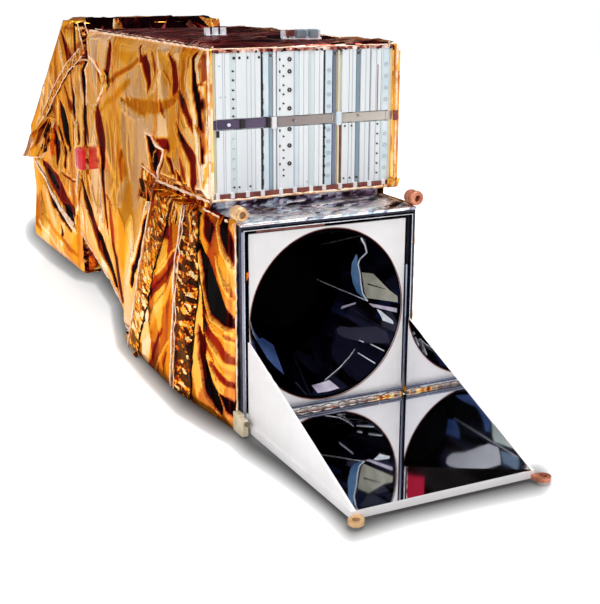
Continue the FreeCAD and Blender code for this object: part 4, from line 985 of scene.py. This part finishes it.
def blocks(name, boxes, finish, bevel=0.0):
    """Small square-edged pieces joined in one mesh, each from (x, x, y, y, z, z) in millimetres."""
    bm = bmesh.new()
    for x0, x1, y0, y1, z0, z1 in boxes:
        cube = bmesh.ops.create_cube(bm, size=1)["verts"]
        bmesh.ops.scale(bm, verts=cube, vec=((x1 - x0) * MM, (y1 - y0) * MM, (z1 - z0) * MM))
        bmesh.ops.translate(bm, verts=cube, vec=Vector((x0 + x1, y0 + y1, z0 + z1)) * MM / 2)
    if bevel:
        bmesh.ops.bevel(bm, geom=bm.edges[:], offset=bevel * MM, segments=2, affect="EDGES", profile=0.5,
                        material=-1)
    return finished(name, bm, finish, smooth=False)


def ring(bm, radii, segments):
    """A flat ring about the origin: its points and its faces."""
    rims = [bmesh.ops.create_circle(bm, cap_ends=False, segments=segments, radius=r * MM)["verts"]
            for r in radii]
    edges = list({e for rim in rims for v in rim for e in v.link_edges})
    return rims[0] + rims[1], bmesh.ops.bridge_loops(bm, edges=edges)["faces"]


# Facings of the three electronics modules: columns, recesses, screws and the clamped straps.
head_y, low_z, high_z = tower_low.y + 0.2, 225.5, 364.6
strap_y, strap_low, strap_high = tower_low.y - 1, 289.4, 300.6


def pegs(name, places, radius, proud, finish, inner=0.0, back=head_y):
    """Round heads, or rings where `inner` is given, that stand forward of `back` at (x, z) places."""
    bm = bmesh.new()
    for x, z in places:
        if inner:
            verts, faces = ring(bm, (radius, inner), 14)
            heads = points_of(bmesh.ops.extrude_face_region(bm, geom=faces)["geom"])
            bmesh.ops.translate(bm, verts=heads, vec=UP * proud * MM)
            verts += heads
            bmesh.ops.translate(bm, verts=verts, vec=-UP * proud * MM / 2)
        else:
            verts = bmesh.ops.create_cone(bm, cap_ends=True, segments=14, radius1=radius * MM,
                                          radius2=radius * MM, depth=proud * MM)["verts"]
        turn = Matrix.Translation(Vector((x, back - proud / 2, z)) * MM) @ Matrix.Rotation(FULL / 4, 4, "X")
        bmesh.ops.transform(bm, verts=verts, matrix=turn)
    bmesh.ops.recalc_face_normals(bm, faces=bm.faces)
    finished(name, bm, finish, smooth=False)


def column(x0, x1, proud, z0=low_z, z1=high_z):
    return (x0, x1, head_y - proud, head_y + 2.5, z0, z1)


def columns(*spans):
    """Upright facings that stop above and below the straps."""
    halves = (low_z, strap_low), (strap_high, high_z)
    return [column(*span, *half) for span in spans for half in halves]


def up(x, *heights):
    return [(x, z) for z in heights]


for part, finish, facings in (
        ("white", module_coat, columns((-98, -83, 1.4), (-76, -49.8, 1.4), (-35.9, -33.5, 1.6),
                                       (-31.5, -29.8, 1.6), (-29.4, -13.2, 1.2), (-6.8, 3.2, 1.4),
                                       (10.8, 20.2, 1.3), (42.4, 49.8, 1.4), (50.5, 58, 1.4),
                                       (64.2, 74.4, 1.4), (76.4, 88, 1.1))),
        ("sage", sage_coat, columns((-82.8, -76.2, .5), (5.8, 10.6, .3), (3.6, 5.4, .9), (88.6, 90, 1.2))),
        ("blue", pale_blue, columns((-46.6, -40.8, .4), (-12, -7.2, .6), (23, 30.6, .7), (90.4, 97.6, .9))),
        ("teal", teal_coat, columns((-40.2, -36.6, .2), (59.4, 63.2, .2))),
        ("slate", slate_coat, columns((31.9, 35.6, .2))),
        ("cream", cream_coat, [column(-102.4, -98.4, .8), column(97.9, 101.6, .8)]
         + columns((37.4, 39, 1.4))),
        ("lines", line_grey, columns(*[(x - .25, x + .25, 1.75) for x in (
            -90.5, -88.3, -64.9, -60.3, -56, -12.6, -2.2, 3.4, 15.6, 53.9, 69.6, 75.4, 82.2)])),
        ("brown_line", maroon_coat, [column(40.2, 41.2, 1.3, low_z, strap_low - .4),
                                     column(83.8, 84.4, 1.6, strap_high - .1, 348)])):
    blocks("facing_" + part, facings, finish)
dark = columns((-48.8, -47.8, .9), (21.2, 22, .9))
dark += [column(-49.8, -46.9, 1.5, z - 3, z + 3) for z in (329.9, 316.2, 304.8, 284, 274.3, 261.2, 249,
                                                           234.7)]
dark += [column(-29.6, -28, 1.5, z - 1.3, z + 1.3) for z in (356.3, 344.5, 326.2, 307.8, 286, 270.4, 252)]
dark += [column(x - 1.1, x + 1.1, 1.7, 358, 360.4) for x in (-78.2, -72.4, -63.9, -51.5)]
blocks("facing_dark_parts", dark, black_coat)
pegs("screw_rings", up(-18.2, 356.3, 344.5, 326.2, 307.8, 287, 270.4, 252), 2.2, 2.2, black_coat,
     inner=1.0)
small = up(-79.5, 346.6, 338, 328.3, 319.6, 310.8, 303)
small += up(-24.8, 350, 340, 331, 322, 313, 280, 266, 258, 246, 240)
small += up(84.6, 286.6, 276.4, 266, 255.6, 245.2, 235) + [(45.7, 286.5), (53.5, 286.5)]
small += [(x, 232) for x in (-79.5, -74, -62, 44.8, 52, 60.8)]
pegs("small_screws", small, 0.95, 2.1, black_coat)
pegs("faint_screws", up(-79.5, 281, 271, 261, 251, 241) + [(-93, 322), (-88, 322), (-94, 352), (2, 232)],
     0.9, 2.1, line_grey)
pegs("round_holes", up(21.6, 286, 276.5, 266.5, 256.5, 246.5, 237), 1.7, 1.4, black_coat)
rings = [(x, z + shift) for x, shift in ((26.8, 0), (94, 4)) for z in range(236, 356, 12)]
pegs("blue_rings", [(x, z) for x, z in rings if not 284 < z < 304], 2.1, 1.6, line_grey, inner=1.5)

blocks("strap_clamps", [(-38, -32.8, strap_y - 2, strap_y + 2, 288.5, 300)], white_coat, bevel=0.5)
blocks("strap_clamp_blue", [(35.6, 41, strap_y - 2, strap_y + 2, 288, 301.5)], pale_blue, bevel=0.5)
blocks("strap_marks", [(-72, -67, strap_y - .8, strap_y, 291, 299),
                       (-43, -40, strap_y - 1.3, strap_y, 290, 299.8),
                       (-98, -95, strap_y - 1, strap_y, 283, 289.4)], black_coat)
pegs("strap_rivets", [(-84.9, 294.8)], 1.7, 2, plug_white, back=strap_y)
for side, start, end in (("left", -104, -97.5), ("right", 95, 103)):
    blocks("strap_end_" + side, [(start, end, strap_y - .2, strap_y + 1, 290.5, 299.5)], strap_metal)
blocks("strap_tip", [(101.5, 107, front_y - 2.4, front_y - 1, 290, 300)], maroon_coat)
pegs("strap_rivets_dull", [(-12, 295), (62, 296.5)], 1.4, 1.8, machined, back=strap_y)


def upright(left, right, y, low, high):
    """The corners of a rectangle that faces forward."""
    return [(left, y, low), (right, y, low), (right, y, high), (left, y, high)]


# The tower frame's sills: dark red film below with white pegs, brown film above with small screws.
at_deck, at_right = dict(of="film_deck"), dict(of="film_body_right")
quilt("sill_film", upright(-100, 100, head_y - 1.2, 220.2, 226.2), maroon_coat, seed=90, grain=3, rise=.3,
      **at_deck)
blocks("sill_pegs", [(x - 1.9, x + 1.9, head_y - 4.2, head_y, 221.2, 227.2)
                     for x in (-98.4, -82, -65.5, -48.8, -28.5, -12.5, 6.1, 21.3, 40.3, 58.3, 75.4, 92.5)],
       white_coat, bevel=0.4)
quilt("lintel_film", upright(-100, 102, head_y - 1, 364.4, 367.4), violet, seed=92, grain=4, rise=.3,
      tone=.72, of="film_top")
pegs("lintel_screws", [(x, 365) for x in (-96, -74, -55, -27, -8, 12, 18, 38, 45, 60, 83, 98)], 1.2, 3,
     black_coat)
quilt("frame_right_film", [(102, head_y + 1, 226), (109, front_y - 1, 226), (109, front_y - 1, 362),
                           (102, head_y + 1, 362)], amber, seed=94, grain=14, rise=.5, tone=.62,
      outward=Vector((-0.5, -0.86, 0)), **at_right)
quilt("corner_curl", [(96, front_y - 2, 228), (112, front_y - 3, 228), (108, front_y - 3, 219),
                      (94, front_y - 2, 219)], amber, seed=95, grain=6, rise=.8, tone=.7, **at_right)

# The cooler's front plate with its wide mouth, a little narrower on its left.
mouth_x, mouth_z = (plate_low.x + plate_high.x) / 2, (plate_low.z + plate_high.z) / 2 + 0.4
mouth_wide, mouth_tall, plate_tall, plate_right, plate_left = 86.4, 89.4, 91.4, 88.0, 86.8


def round_mouth(turn, wide=mouth_wide, tall=mouth_tall):
    return Vector((mouth_x + wide * math.cos(turn), plate_low.y, mouth_z + tall * math.sin(turn))) * MM


def plate_edge(turn):
    half = plate_right if math.cos(turn) > 0 else plate_left
    reach = min(half / max(abs(math.cos(turn)), 1e-9), plate_tall / max(abs(math.sin(turn)), 1e-9))
    return round_mouth(turn, reach, reach)


right_corner, left_corner = math.atan2(plate_tall, plate_right), math.atan2(plate_tall, plate_left)
circle = list(np.linspace(0, FULL, 97)[:-1])
turns = sorted(circle + [right_corner, FULL / 2 - left_corner, FULL / 2 + left_corner, FULL - right_corner])
bm = bmesh.new()
for turn, after in zip(turns, turns[1:] + turns[:1]):
    bm.faces.new([bm.verts.new(p) for p in (round_mouth(turn), round_mouth(after), plate_edge(after),
                                            plate_edge(turn))])
bmesh.ops.remove_doubles(bm, verts=bm.verts, dist=1e-6)
deep = bmesh.ops.extrude_face_region(bm, geom=bm.faces[:])["geom"]
bmesh.ops.translate(bm, verts=points_of(deep), vec=BACK * (plate_high.y - plate_low.y) * MM)
bmesh.ops.recalc_face_normals(bm, faces=bm.faces)
finished("radiator_face", bm, white_coat, smooth=False, instead_of=("radiator_plate",))
# A black ring fills the gap between the plate's mouth and the cone's edge: painted shade.
bm = bmesh.new()
ring(bm, (85.4, 89.9), 96)
bmesh.ops.transform(bm, verts=bm.verts, matrix=Matrix.Translation(
    Vector((mouth_x, plate_high.y - 0.4, mouth_z - 0.4)) * MM) @ Matrix.Rotation(FULL / 4, 4, "X"))
bm.normal_update()
if sum(f.normal.y for f in bm.faces) > 0:
    bmesh.ops.reverse_faces(bm, faces=bm.faces)
finished("mouth_painted_shade", bm, deep_black)
bead("mouth_rim", [round_mouth(turn, 86.3, 89.3) for turn in circle], 0.45, maroon_coat,
     closed=True)

# The bezel's polished lines. The shutting shield's wings pass behind it, so nothing stands beside the plate.
wing_gap_left, wing_gap_right = plate_low.x - 1.5, plate_high.x + 1.5
edge_y, inner_x, outer_x = cooler_low.y - 0.4, cooler_low.x + 4.4, cooler_high.x - 3.4
top_line, foot_line = cooler_high.z - 4.2, cooler_low.z + 3.5
bead("bezel_line", [Vector((x, edge_y, z)) * MM for x, z in (
    (inner_x - .8, foot_line), (inner_x - .8, top_line), (outer_x, top_line), (outer_x, foot_line))],
     0.55, plated)
blocks("bezel_post_left", [(cooler_low.x + .6, inner_x - 1.2, edge_y - .3, edge_y + 1, cooler_low.z,
                            cooler_high.z - 5)], steel)
blocks("bezel_post_right", [(plate_high.x + .2, wing_gap_right, edge_y - .2, edge_y + 1, foot_line, 152)],
       steel)
blocks("bezel_foot_bars", [(wing_gap_left, wing_gap_right, edge_y - .2, edge_y + 1, z, z + tall)
                           for z, tall in ((foot_line - 1.2, 1.6), (cooler_low.z + .2, 1))], steel)
blocks("slot_shade", [(wing_gap_left, -95, -295, -294.2, 18, 204),
                      (wing_gap_left, wing_gap_right, -295, -294.2, 200.4, 204)], deep_black)
at_skirt = dict(of="film_cooler_left")
quilt("slot_film_left", [(-98.6, -296, 152), (-96, -296, 150), (-96, -296, 164), (-98.6, -296, 162)],
      crushed, seed=96, grain=5, rise=.3, tone=.36, swing=.6, lift=.2, **at_skirt)
# A maroon sheet in the upper slot: a painted reflection.
quilt("slot_painted_reflection_top", upright(-88, -14, -296, 200.6, 202.6), maroon_coat, seed=97, grain=4, rise=.3,
      lift=.2, **at_deck)

# The hinge brackets' faces: short ivory blocks with a dark knob each.
for side, low, high in (("left", -113, -106), ("right", 88, 95)):
    bracket = blocks("hinge_block_" + side, [(low, high, front, -292, foot, top) for front, foot, top in
                                             ((-315, 1.5, 19), (-306, 17, 22))], ivory, bevel=1.2)
    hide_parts("hinge_bracket_" + side)
pegs("hinge_knobs", [(-108, 15), (90, 15)], 2.6, 2.5, olive, back=-314.5)

# Hinge line: a roll of film tucked under the bezel between the two brackets.
roll = [Vector((-97 + k * 4.4, -299.5, 11.2)) * MM for k in range(41)]
lower = [p + Vector((0, -1.4, -2.6)) * MM for p in roll]
cuts["film_cooler_left"]["with_pieces"] += [
    bead("hinge_roll_upper", roll, 2.7, stone_foil, wobble=0.6, seed=98),
    bead("hinge_roll_lower", lower, 2.1, rust_foil, wobble=0.6, seed=99)]
quilt("hinge_roll_gold", [(40, -303, 7), (76, -303, 7), (76, -301.4, 13), (40, -301.4, 13)], crushed,
      seed=100, grain=4, rise=.5, tone=.6, swing=.5, outward=Vector((0, -.7, .7)), **at_skirt)

# The cap over the alignment cube, with rounded edges, and its tie.
cap_low, cap_high = box("cube_cover")
cap_middle, cap_size, cap_round = (cap_high.x - 11, (cap_low.y + cap_high.y) / 2 + 1, 207), (25, 23, 28), 4.5
bm = bmesh.new()
cube = bmesh.ops.create_cube(bm, size=1)["verts"]
bmesh.ops.scale(bm, verts=cube, vec=Vector(cap_size) * MM)
bmesh.ops.translate(bm, verts=cube, vec=Vector(cap_middle) * MM)
bmesh.ops.bevel(bm, geom=bm.edges[:], offset=cap_round * MM, segments=4, affect="EDGES", profile=0.5,
                material=-1)
finished("red_cap", bm, cap_red, instead_of=("cube_cover",))
strip("cap_tie", [(cap_high.x - 14, 158.5, z) for z in (226, 188)], 4, amber, seed=101, rough=.3, tone=.8,
      outward=FRONT)

# The scanner's brow: loose film painted dark as a dark reflection, gathered along the ridge, with a gold
# corner at its far end. The last numbers of each piece are its seed, grain, rise, tone and swing.
ridge_y, at_brow = box("blanket_scanner_front")[0].y, dict(of="film_scanner_brow")
for part, finish, corners, *look in (
        ("left", violet, [(-84, -2, 352), (-48, -2, 362), (-46, -3, 380), (-86, -3, 381)],
         102, 11, 1.6, .08, .25),
        ("right", violet, [(-44, -2, 352), (96, -2, 358), (72, -3, 381), (-38, -3, 380)],
         103, 12, 1.8, .1, .3),
        ("crinkle", crushed, [(-50, -4, 356), (-36, -4, 356), (-38, -4.5, 379), (-48, -4.5, 379)],
         104, 5, 1, .6, .5),
        ("gold_end", amber, [(66, -4, 364), (105, -3, 350), (105, -3.5, 373), (70, -4, 381)],
         105, 9, 1.2, .5, .4)):
    quilt("brow_" + part, [(x, ridge_y + y, z) for x, y, z in corners], finish, *look, **at_brow)
cuts["film_scanner_brow"]["with_pieces"].append(
    bead("brow_roll", [Vector((x, ridge_y + 3.5, 376.5)) * MM for x in range(-84, 100, 8)], 4.2, violet,
         wobble=0.8, seed=106, sides=3))
quilt("tuck_under_seam", [(-112, -30, 214), (-113, -82, 217), (-114, -76, 194), (-112, -30, 192)], crushed,
      seed=107, grain=5, rise=1, tone=.45, swing=.5, lift=3, outward=LEFT)

# Inside the cone: painted reflections and highlights, bright lines and coloured segments set along its
# mirror wall.
axis_x, axis_z = (cone_low.x + cone_high.x) / 2, (cone_low.z + cone_high.z) / 2
wall_thick, taper, strips = 1.5, 43.5, 6


def inward(x, y, z, lift=0.8):
    """A place on the cone's wall, lifted a little towards its axis, in metres."""
    narrower = taper * (y - cone_low.y) / (cone_high.y - cone_low.y)
    wall = (cone_high.x - cone_low.x) / 2 - wall_thick - narrower
    way = Vector((x - axis_x, 0, z - axis_z)).normalized()
    return (Vector((axis_x, y, axis_z)) + way * (wall - lift)) * MM


def wall_spot(turn, y):
    """A place on the cone's wall from a turn about its axis in degrees and a place along it."""
    return axis_x + 50 * math.cos(math.radians(turn)), y, axis_z + 50 * math.sin(math.radians(turn))


# A thin bright line on the cone's wall: a painted glint.
def painted_glint(name, points, radius, finish):
    bead(name, [inward(*p) for p in points], radius, finish)


def segment(name, rows, finish):
    """A thin segment of the cone's wall, a painted reflection: each row has a place on each of its long
    edges.
    """
    bm = bmesh.new()
    grid = []
    for row in rows:
        near, far = Vector(row[:3]), Vector(row[3:])
        grid.append([bm.verts.new(inward(*near.lerp(far, k / strips), 1.0)) for k in range(strips + 1)])
    for one, two in zip(grid, grid[1:]):
        for k in range(strips):
            bm.faces.new((one[k], one[k + 1], two[k + 1], two[k]))
    bm.normal_update()
    middle = sum((v.co for v in bm.verts), Vector()) / len(bm.verts)
    inside = Vector((axis_x * MM, middle.y, axis_z * MM)) - middle
    if sum(f.normal.dot(inside) for f in bm.faces) < 0:
        bmesh.ops.reverse_faces(bm, faces=bm.faces)
    finished(name, bm, finish)


for part, radius, finish, points in (
        ("glint_long", .55, plated, [(27.1, -191, 114.7), (36.9, -201.6, 113.1), (45.5, -220.2, 109.8),
                                    (53.8, -238.8, 106.8), (61.2, -256.1, 103.7)]),
        ("seam_upper", .8, plug_white, [(31.9, -293, 188.3), (39.7, -284.7, 175.2), (47, -276.5, 164.3),
                                        (47.4, -267.8, 158.1), (47.7, -261, 153.3)]),
        ("seam_crescent", .7, plug_white, [(47.7, -261, 153.3), (50, -254, 146), (54.5, -251, 134),
                                           (57.4, -248.5, 121), (58.6, -249.5, 111), (61.4, -256, 103.5)]),
        ("seam_lower", .45, plated, [(41.9, -264.1, 54), (33.7, -266, 46.8), (20, -269.3, 37.7),
                                     (-1.5, -276.4, 28.9)]),
        ("dash_a", .6, plug_white, [(47.9, -261.8, 62.5), (50.8, -267.5, 61.5)]),
        ("dash_b", .6, plug_white, [(54.7, -275.5, 61.1), (61.5, -292.5, 57.6)]),
        ("dash_c", .6, plug_white, [(42.4, -269.8, 51.2), (51.7, -292.5, 43.9)])):
    painted_glint("cone_" + part, points, radius, finish)
for part, finish, rows in (
        ("crescent", blue_gloss, [
            (42.5, -261.7, 159.4, 43.5, -262, 158), (45.7, -247.7, 146.2, 50, -254, 146),
            (49.1, -239.9, 133.1, 54.5, -251, 134), (52.5, -238.6, 120.3, 57.4, -248.5, 121),
            (55.3, -242.6, 110.9, 58.6, -249.5, 111), (60.8, -254.8, 103.4, 61.4, -256, 103.5)]),
        ("light_panel", stone_painted_reflection, [(56, -254, 137, 64, -268, 139), (58.2, -252, 124, 73, -283, 122),
                                      (59.6, -252, 113, 77, -292, 117),
                                      (61.2, -255, 107, 77.4, -292.4, 110)]),
        ("bands", violet_painted_reflection, [(62, -257.6, 101.6, 77, -291.7, 103.2),
                                 (64.4, -263, 98.6, 77, -292, 98.6)]),
        ("wedge", plug_white, [(65.8, -268.2, 97.4, 68.4, -273, 96.4), (67.6, -275.5, 89.5, 74, -289, 89),
                               (68, -277.5, 86.8, 74.4, -291, 85.4)]),
        ("bar", violet_painted_reflection, [(45.6, -226.2, 91.8, 54.6, -242, 99.6), (45, -226, 88.6, 54.2, -242, 97.6)]),
        ("glow", violet_painted_reflection, [(-19.7, -281, 27.2, -19, -292, 19), (-8, -279, 28.4, -7, -292, 18.9),
                                (2.5, -278, 30.2, 8, -292, 21)]),
        ("panel_dark", deep_black, [(57, -252, 136, 66, -270, 130), (60, -256, 128, 68, -272, 126),
                                    (62, -258, 121, 72, -280, 121.5)])):
    segment("cone_" + part, rows, finish)

# Painted reflections on the wall's hidden side, seen only in the mirrors: rows of a turn and two places
# along it.
for part, dim, bright, rows in (
        ("arc", (56, 84, 146), (88, 118, 180), [
            (183, -247, -241), (191, -248, -240), (199, -250, -239), (207, -252, -238), (215, -254, -237),
            (223, -262, -226), (232, -267, -224), (240, -272, -226)]),
        ("wedge", (56, 84, 146), (88, 118, 180), [
            (161, -211, -192), (170, -209, -192), (179, -206, -192), (187, -203, -192)]),
        ("pale", (226, 226, 236), (250, 252, 255), [
            (123, -219, -213), (130, -232, -209), (139, -247, -211), (148, -258, -222), (156, -268, -230),
            (163, -264, -237), (170, -259, -247)]),
        ("sage", (206, 220, 212), (236, 244, 238), [
            (174, -284, -253), (180, -275, -250), (187, -267, -250), (197, -259, -250.5),
            (207, -252.5, -251)]),
        ("teal", (104, 130, 158), (142, 168, 192), [(158, -288, -270), (163, -288, -266),
                                                    (168, -285, -262)])):
    segment("cone_far_" + part, [wall_spot(turn, near) + wall_spot(turn, far) for turn, near, far in rows],
            coated(part + "_gloss", dim, bright, 40, rough=(0.4, 0.5), bump=0))
painted_glint("cone_far_line", [wall_spot(*place) for place in ((189.7, -200.5), (180.8, -222.8), (173.9, -247.5),
                                                       (171.9, -258.8), (167.7, -284.8))], 0.5, plug_white)

# The two latch bushings, each with its bore, from (radius, y) points listed once round the section.
latch_z, right_out = box("latch_left")[1].z - 9.5, 4
for side, shift, finish, section in (
        ("left", -1, bronze, [(3.5, -302.6), (4.6, -303), (5.6, -302.4), (5.8, -300.6), (5, -299.8),
                              (6.9, -299), (7.3, -297.6), (7.3, -287), (6.6, -285.2), (3.5, -285)]),
        ("right", right_out, copper_coat, [(3.5, -302.8), (5.4, -302.9), (7.1, -301.4), (7.6, -298.6),
                                           (7.1, -295.8), (5.9, -294.4), (7, -292.8), (7.5, -290),
                                           (6.8, -286.4), (5.2, -285), (3.5, -285)])):
    low, high = box("latch_" + side)
    x = (low.x + high.x) / 2 + shift
    bm = bmesh.new()
    outline = [bm.verts.new(Vector((x + r, y, latch_z)) * MM) for r, y in section]
    edges = [bm.edges.new(ends) for ends in zip(outline, outline[1:] + outline[:1])]
    bmesh.ops.spin(bm, geom=outline + edges, cent=Vector((x, 0, latch_z)) * MM, axis=BACK, dvec=(0, 0, 0),
                   angle=FULL, steps=28, use_merge=True)
    bmesh.ops.remove_doubles(bm, verts=bm.verts, dist=1e-6)
    bmesh.ops.recalc_face_normals(bm, faces=bm.faces)
    finished("latch_bush_" + side, bm, finish, instead_of=("latch_" + side,))

# The right-hand ring sits a little further out, as its bushing does.
bm = bmesh.new()
bm.from_mesh(nodes["latch_ring_right"].data)
bmesh.ops.translate(bm, verts=bm.verts, vec=RIGHT * right_out * MM)
finished("latch_eye_right", bm, copper_coat, "earth_shield", smooth=False,
         instead_of=("latch_ring_right",))

# Sockets on the forward plug.
plug_low, plug_high = box("top_plug_front")
for tint, finish, front, back, down, proud, spans, bevel in (
        ("dark", maroon_coat, -.8, 6, 6, .8, ((3.5, 3), (9.5, 3)), 0),
        ("teal", teal_coat, -1, 9, 8, 1, ((15, 12), (31, 11)), 1)):
    blocks("plug_sockets_" + tint, [
        (plug_low.x + x, plug_low.x + x + wide, plug_low.y + front, plug_low.y + back, plug_high.z - down,
         plug_high.z + proud) for x, wide in spans], finish, bevel=bevel)

for cut in cuts.values():
    cut.pop("obj")


# ---------------------------------------------------------------- camera, floor and light

scene = bpy.context.scene
scene.view_settings.view_transform = "Standard"

lens = bpy.data.cameras.new("camera")
lens.lens = 68.09
lens.sensor_width = 36
scene.camera = linked("camera", lens)
yaw, pitch, roll = math.radians(26.56), math.radians(16.20), math.radians(0.16)
view = (Matrix.Translation((-0.5264, -1.2675, 0.4415)) @ Matrix.Rotation(-yaw, 4, "Z")
        @ Matrix.Rotation(FULL / 4 - pitch, 4, "X") @ Matrix.Rotation(roll, 4, "Z"))
scene.camera.matrix_world = view

# The floor: plain and bright, darker in a painted soft shadow along the object's left side and front.
contact = ((-68, 653), (-71, 525), (-68, 408), (-44, 363), (-69, 184), (-117, 14), (-124, -77), (-127, -134),
           (-130, -204), (-122, -267), (-115, -305), (-116, -342), (-110, -396), (-107, -444), (-106, -488),
           (-109, -529), (-60, -523), (10, -522), (78, -525))
shift, shadow_wide = (0.0018, 0.0044), 0.0168
fade_start, fade_run = 1.0, 0.25


def as_seen(points):
    """Floor places as they lie in the camera's view, where the painted shadow is equally wide all along."""
    seen = np.array([view.inverted() @ Vector((x, y, 0)) for x, y in points])
    return seen[:, :2] / np.maximum(-seen[:, 2:], 0.05)


bm = bmesh.new()
bmesh.ops.create_grid(bm, x_segments=200, y_segments=560, size=0.5)
bmesh.ops.scale(bm, verts=bm.verts, vec=(0.6, 1.9, 1))
bmesh.ops.translate(bm, verts=bm.verts, vec=(-0.06, 0.25, 0))
outer = points_of(bmesh.ops.extrude_edge_only(bm, edges=[e for e in bm.edges if e.is_boundary])["geom"])
bmesh.ops.scale(bm, verts=outer, vec=(14, 6, 1))
layer = bm.verts.layers.float.new("shade")
line = as_seen([(x * MM, y * MM) for x, y in contact]) + shift
spots = as_seen([v.co.xy for v in bm.verts]).T
gap = np.min([gap_to(*spots, start, end)[0] for start, end in zip(line, line[1:])], axis=0)
for vertex, away in zip(bm.verts, gap):
    fade = min(1.0, max(0.0, (fade_start - vertex.co.y) / fade_run))
    vertex[layer] = max(0.0, 1 - float(away) / shadow_wide) * fade
face_out(bm, UP)
floor = linked("floor", bm)
pale = Finish("pale_floor", roughness=0.9, Emission_Color=(1, 1, 1, 1))
painted_shadow = pale.attribute("shade")
fall = ((0.0, 1), (0.08, .76), (0.18, .56), (0.3, .46), (0.45, .36), (0.6, .25), (0.76, .16), (0.92, .1),
        (1.0, .08))
pale.colour(painted_shadow, [(at, (.88 * share,) * 3) for at, share in fall])
glow = pale.ramp(painted_shadow, [(at, (share,) * 3) for at, share in fall])
own_light = pale.sum(pale.span(pale.in_view(), 0, 1, 0, 0.45), glow, "MULTIPLY")
pale.feed(pale.shader["Emission Strength"], own_light)
floor.data.materials.append(pale.material)

scene.world = bpy.data.worlds.new("studio")
scene.world.use_nodes = True
sky = Pattern(scene.world.node_tree)
background = sky.tree.nodes["Background"].inputs
background["Color"].default_value = (1, 1, 1, 1)
sky.feed(background["Strength"], sky.span(sky.in_view(), 0, 1, 0.7, 1.0))


def cards(name, places, glow, strength, patchy):
    """Tall cards round the object, as beside any shiny thing in a studio. Only its reflections see them."""
    bm = bmesh.new()
    for turn, wide, far, low, high in places:
        card = bmesh.ops.create_grid(bm, x_segments=1, y_segments=1, size=0.5)["verts"]
        bmesh.ops.scale(bm, verts=card, vec=(wide, high - low, 1))
        stand = Matrix.Translation((0, far, (low + high) / 2)) @ Matrix.Rotation(FULL / 4, 4, "X")
        bmesh.ops.transform(bm, verts=card, matrix=Matrix.Rotation(math.radians(-turn), 4, "Z") @ stand)
    piece = linked(name, bm)
    piece.visible_camera = piece.visible_diffuse = piece.visible_shadow = piece.visible_transmission = False
    coat = Finish(name + "_coat", roughness=1.0, Base_Color=(0.002, 0.002, 0.002, 1), Specular_IOR_Level=0,
                  Emission_Color=(*glow, 1))
    light = coat.span(coat.noise(5, 3, 1.5), 0.4, 0.6, strength * (1 - patchy), strength * (1 + patchy))
    coat.feed(coat.shader["Emission Strength"], light)
    piece.data.materials.append(coat.material)


# Each card: its turn about the object in degrees, then width, distance, foot and top in metres.
cards("warm_cards", ((-20, .07, .85, 0, 1.1), (-33, .1, .7, 0, 1.0), (-47, .05, .7, 0, .9),
                     (-66, .12, .75, 0, .9), (-84, .08, .75, 0, .9), (-106, .12, .75, 0, .8),
                     (-126, .2, .85, .05, 1.0), (140, .5, 1.7, .15, 1.5), (165, .45, 1.8, .3, 1.5),
                     (195, .6, 1.9, .25, 1.6), (222, .5, 1.7, .2, 1.4)), (1, 0.3, 0.2), 0.22, 0.2)
cards("dark_cards", ((4, .5, 1.2, .1, 1.6), (28, .56, 1.1, .1, 1.6), (100, .4, 1.0, .2, 1.5)), (1, 0.7, 0.7),
      0.24, 0.9)
cards("black_cards", ((56, .56, 1.1, .1, 1.6),), (1, 0.8, 0.92), 0.004, 1.0)
cards("red_card", ((46.4, .042, 1.05, .672, .78),), (1, .03, .1), .33, .1)

for name, place, size, power in (("overhead", (0.5, -0.5, 2.4), 1.6, 32),
                                 ("left_front", (-2.2, -1.4, 1.3), 1.4, 22)):
    light = bpy.data.lights.new(name, "AREA")
    light.size = size
    light.energy = power
    lamp = linked(name, light)
    lamp.location = place
    lamp.rotation_euler = (Vector((0, 0, 0.15)) - Vector(place)).to_track_quat("-Z", "Y").to_euler()
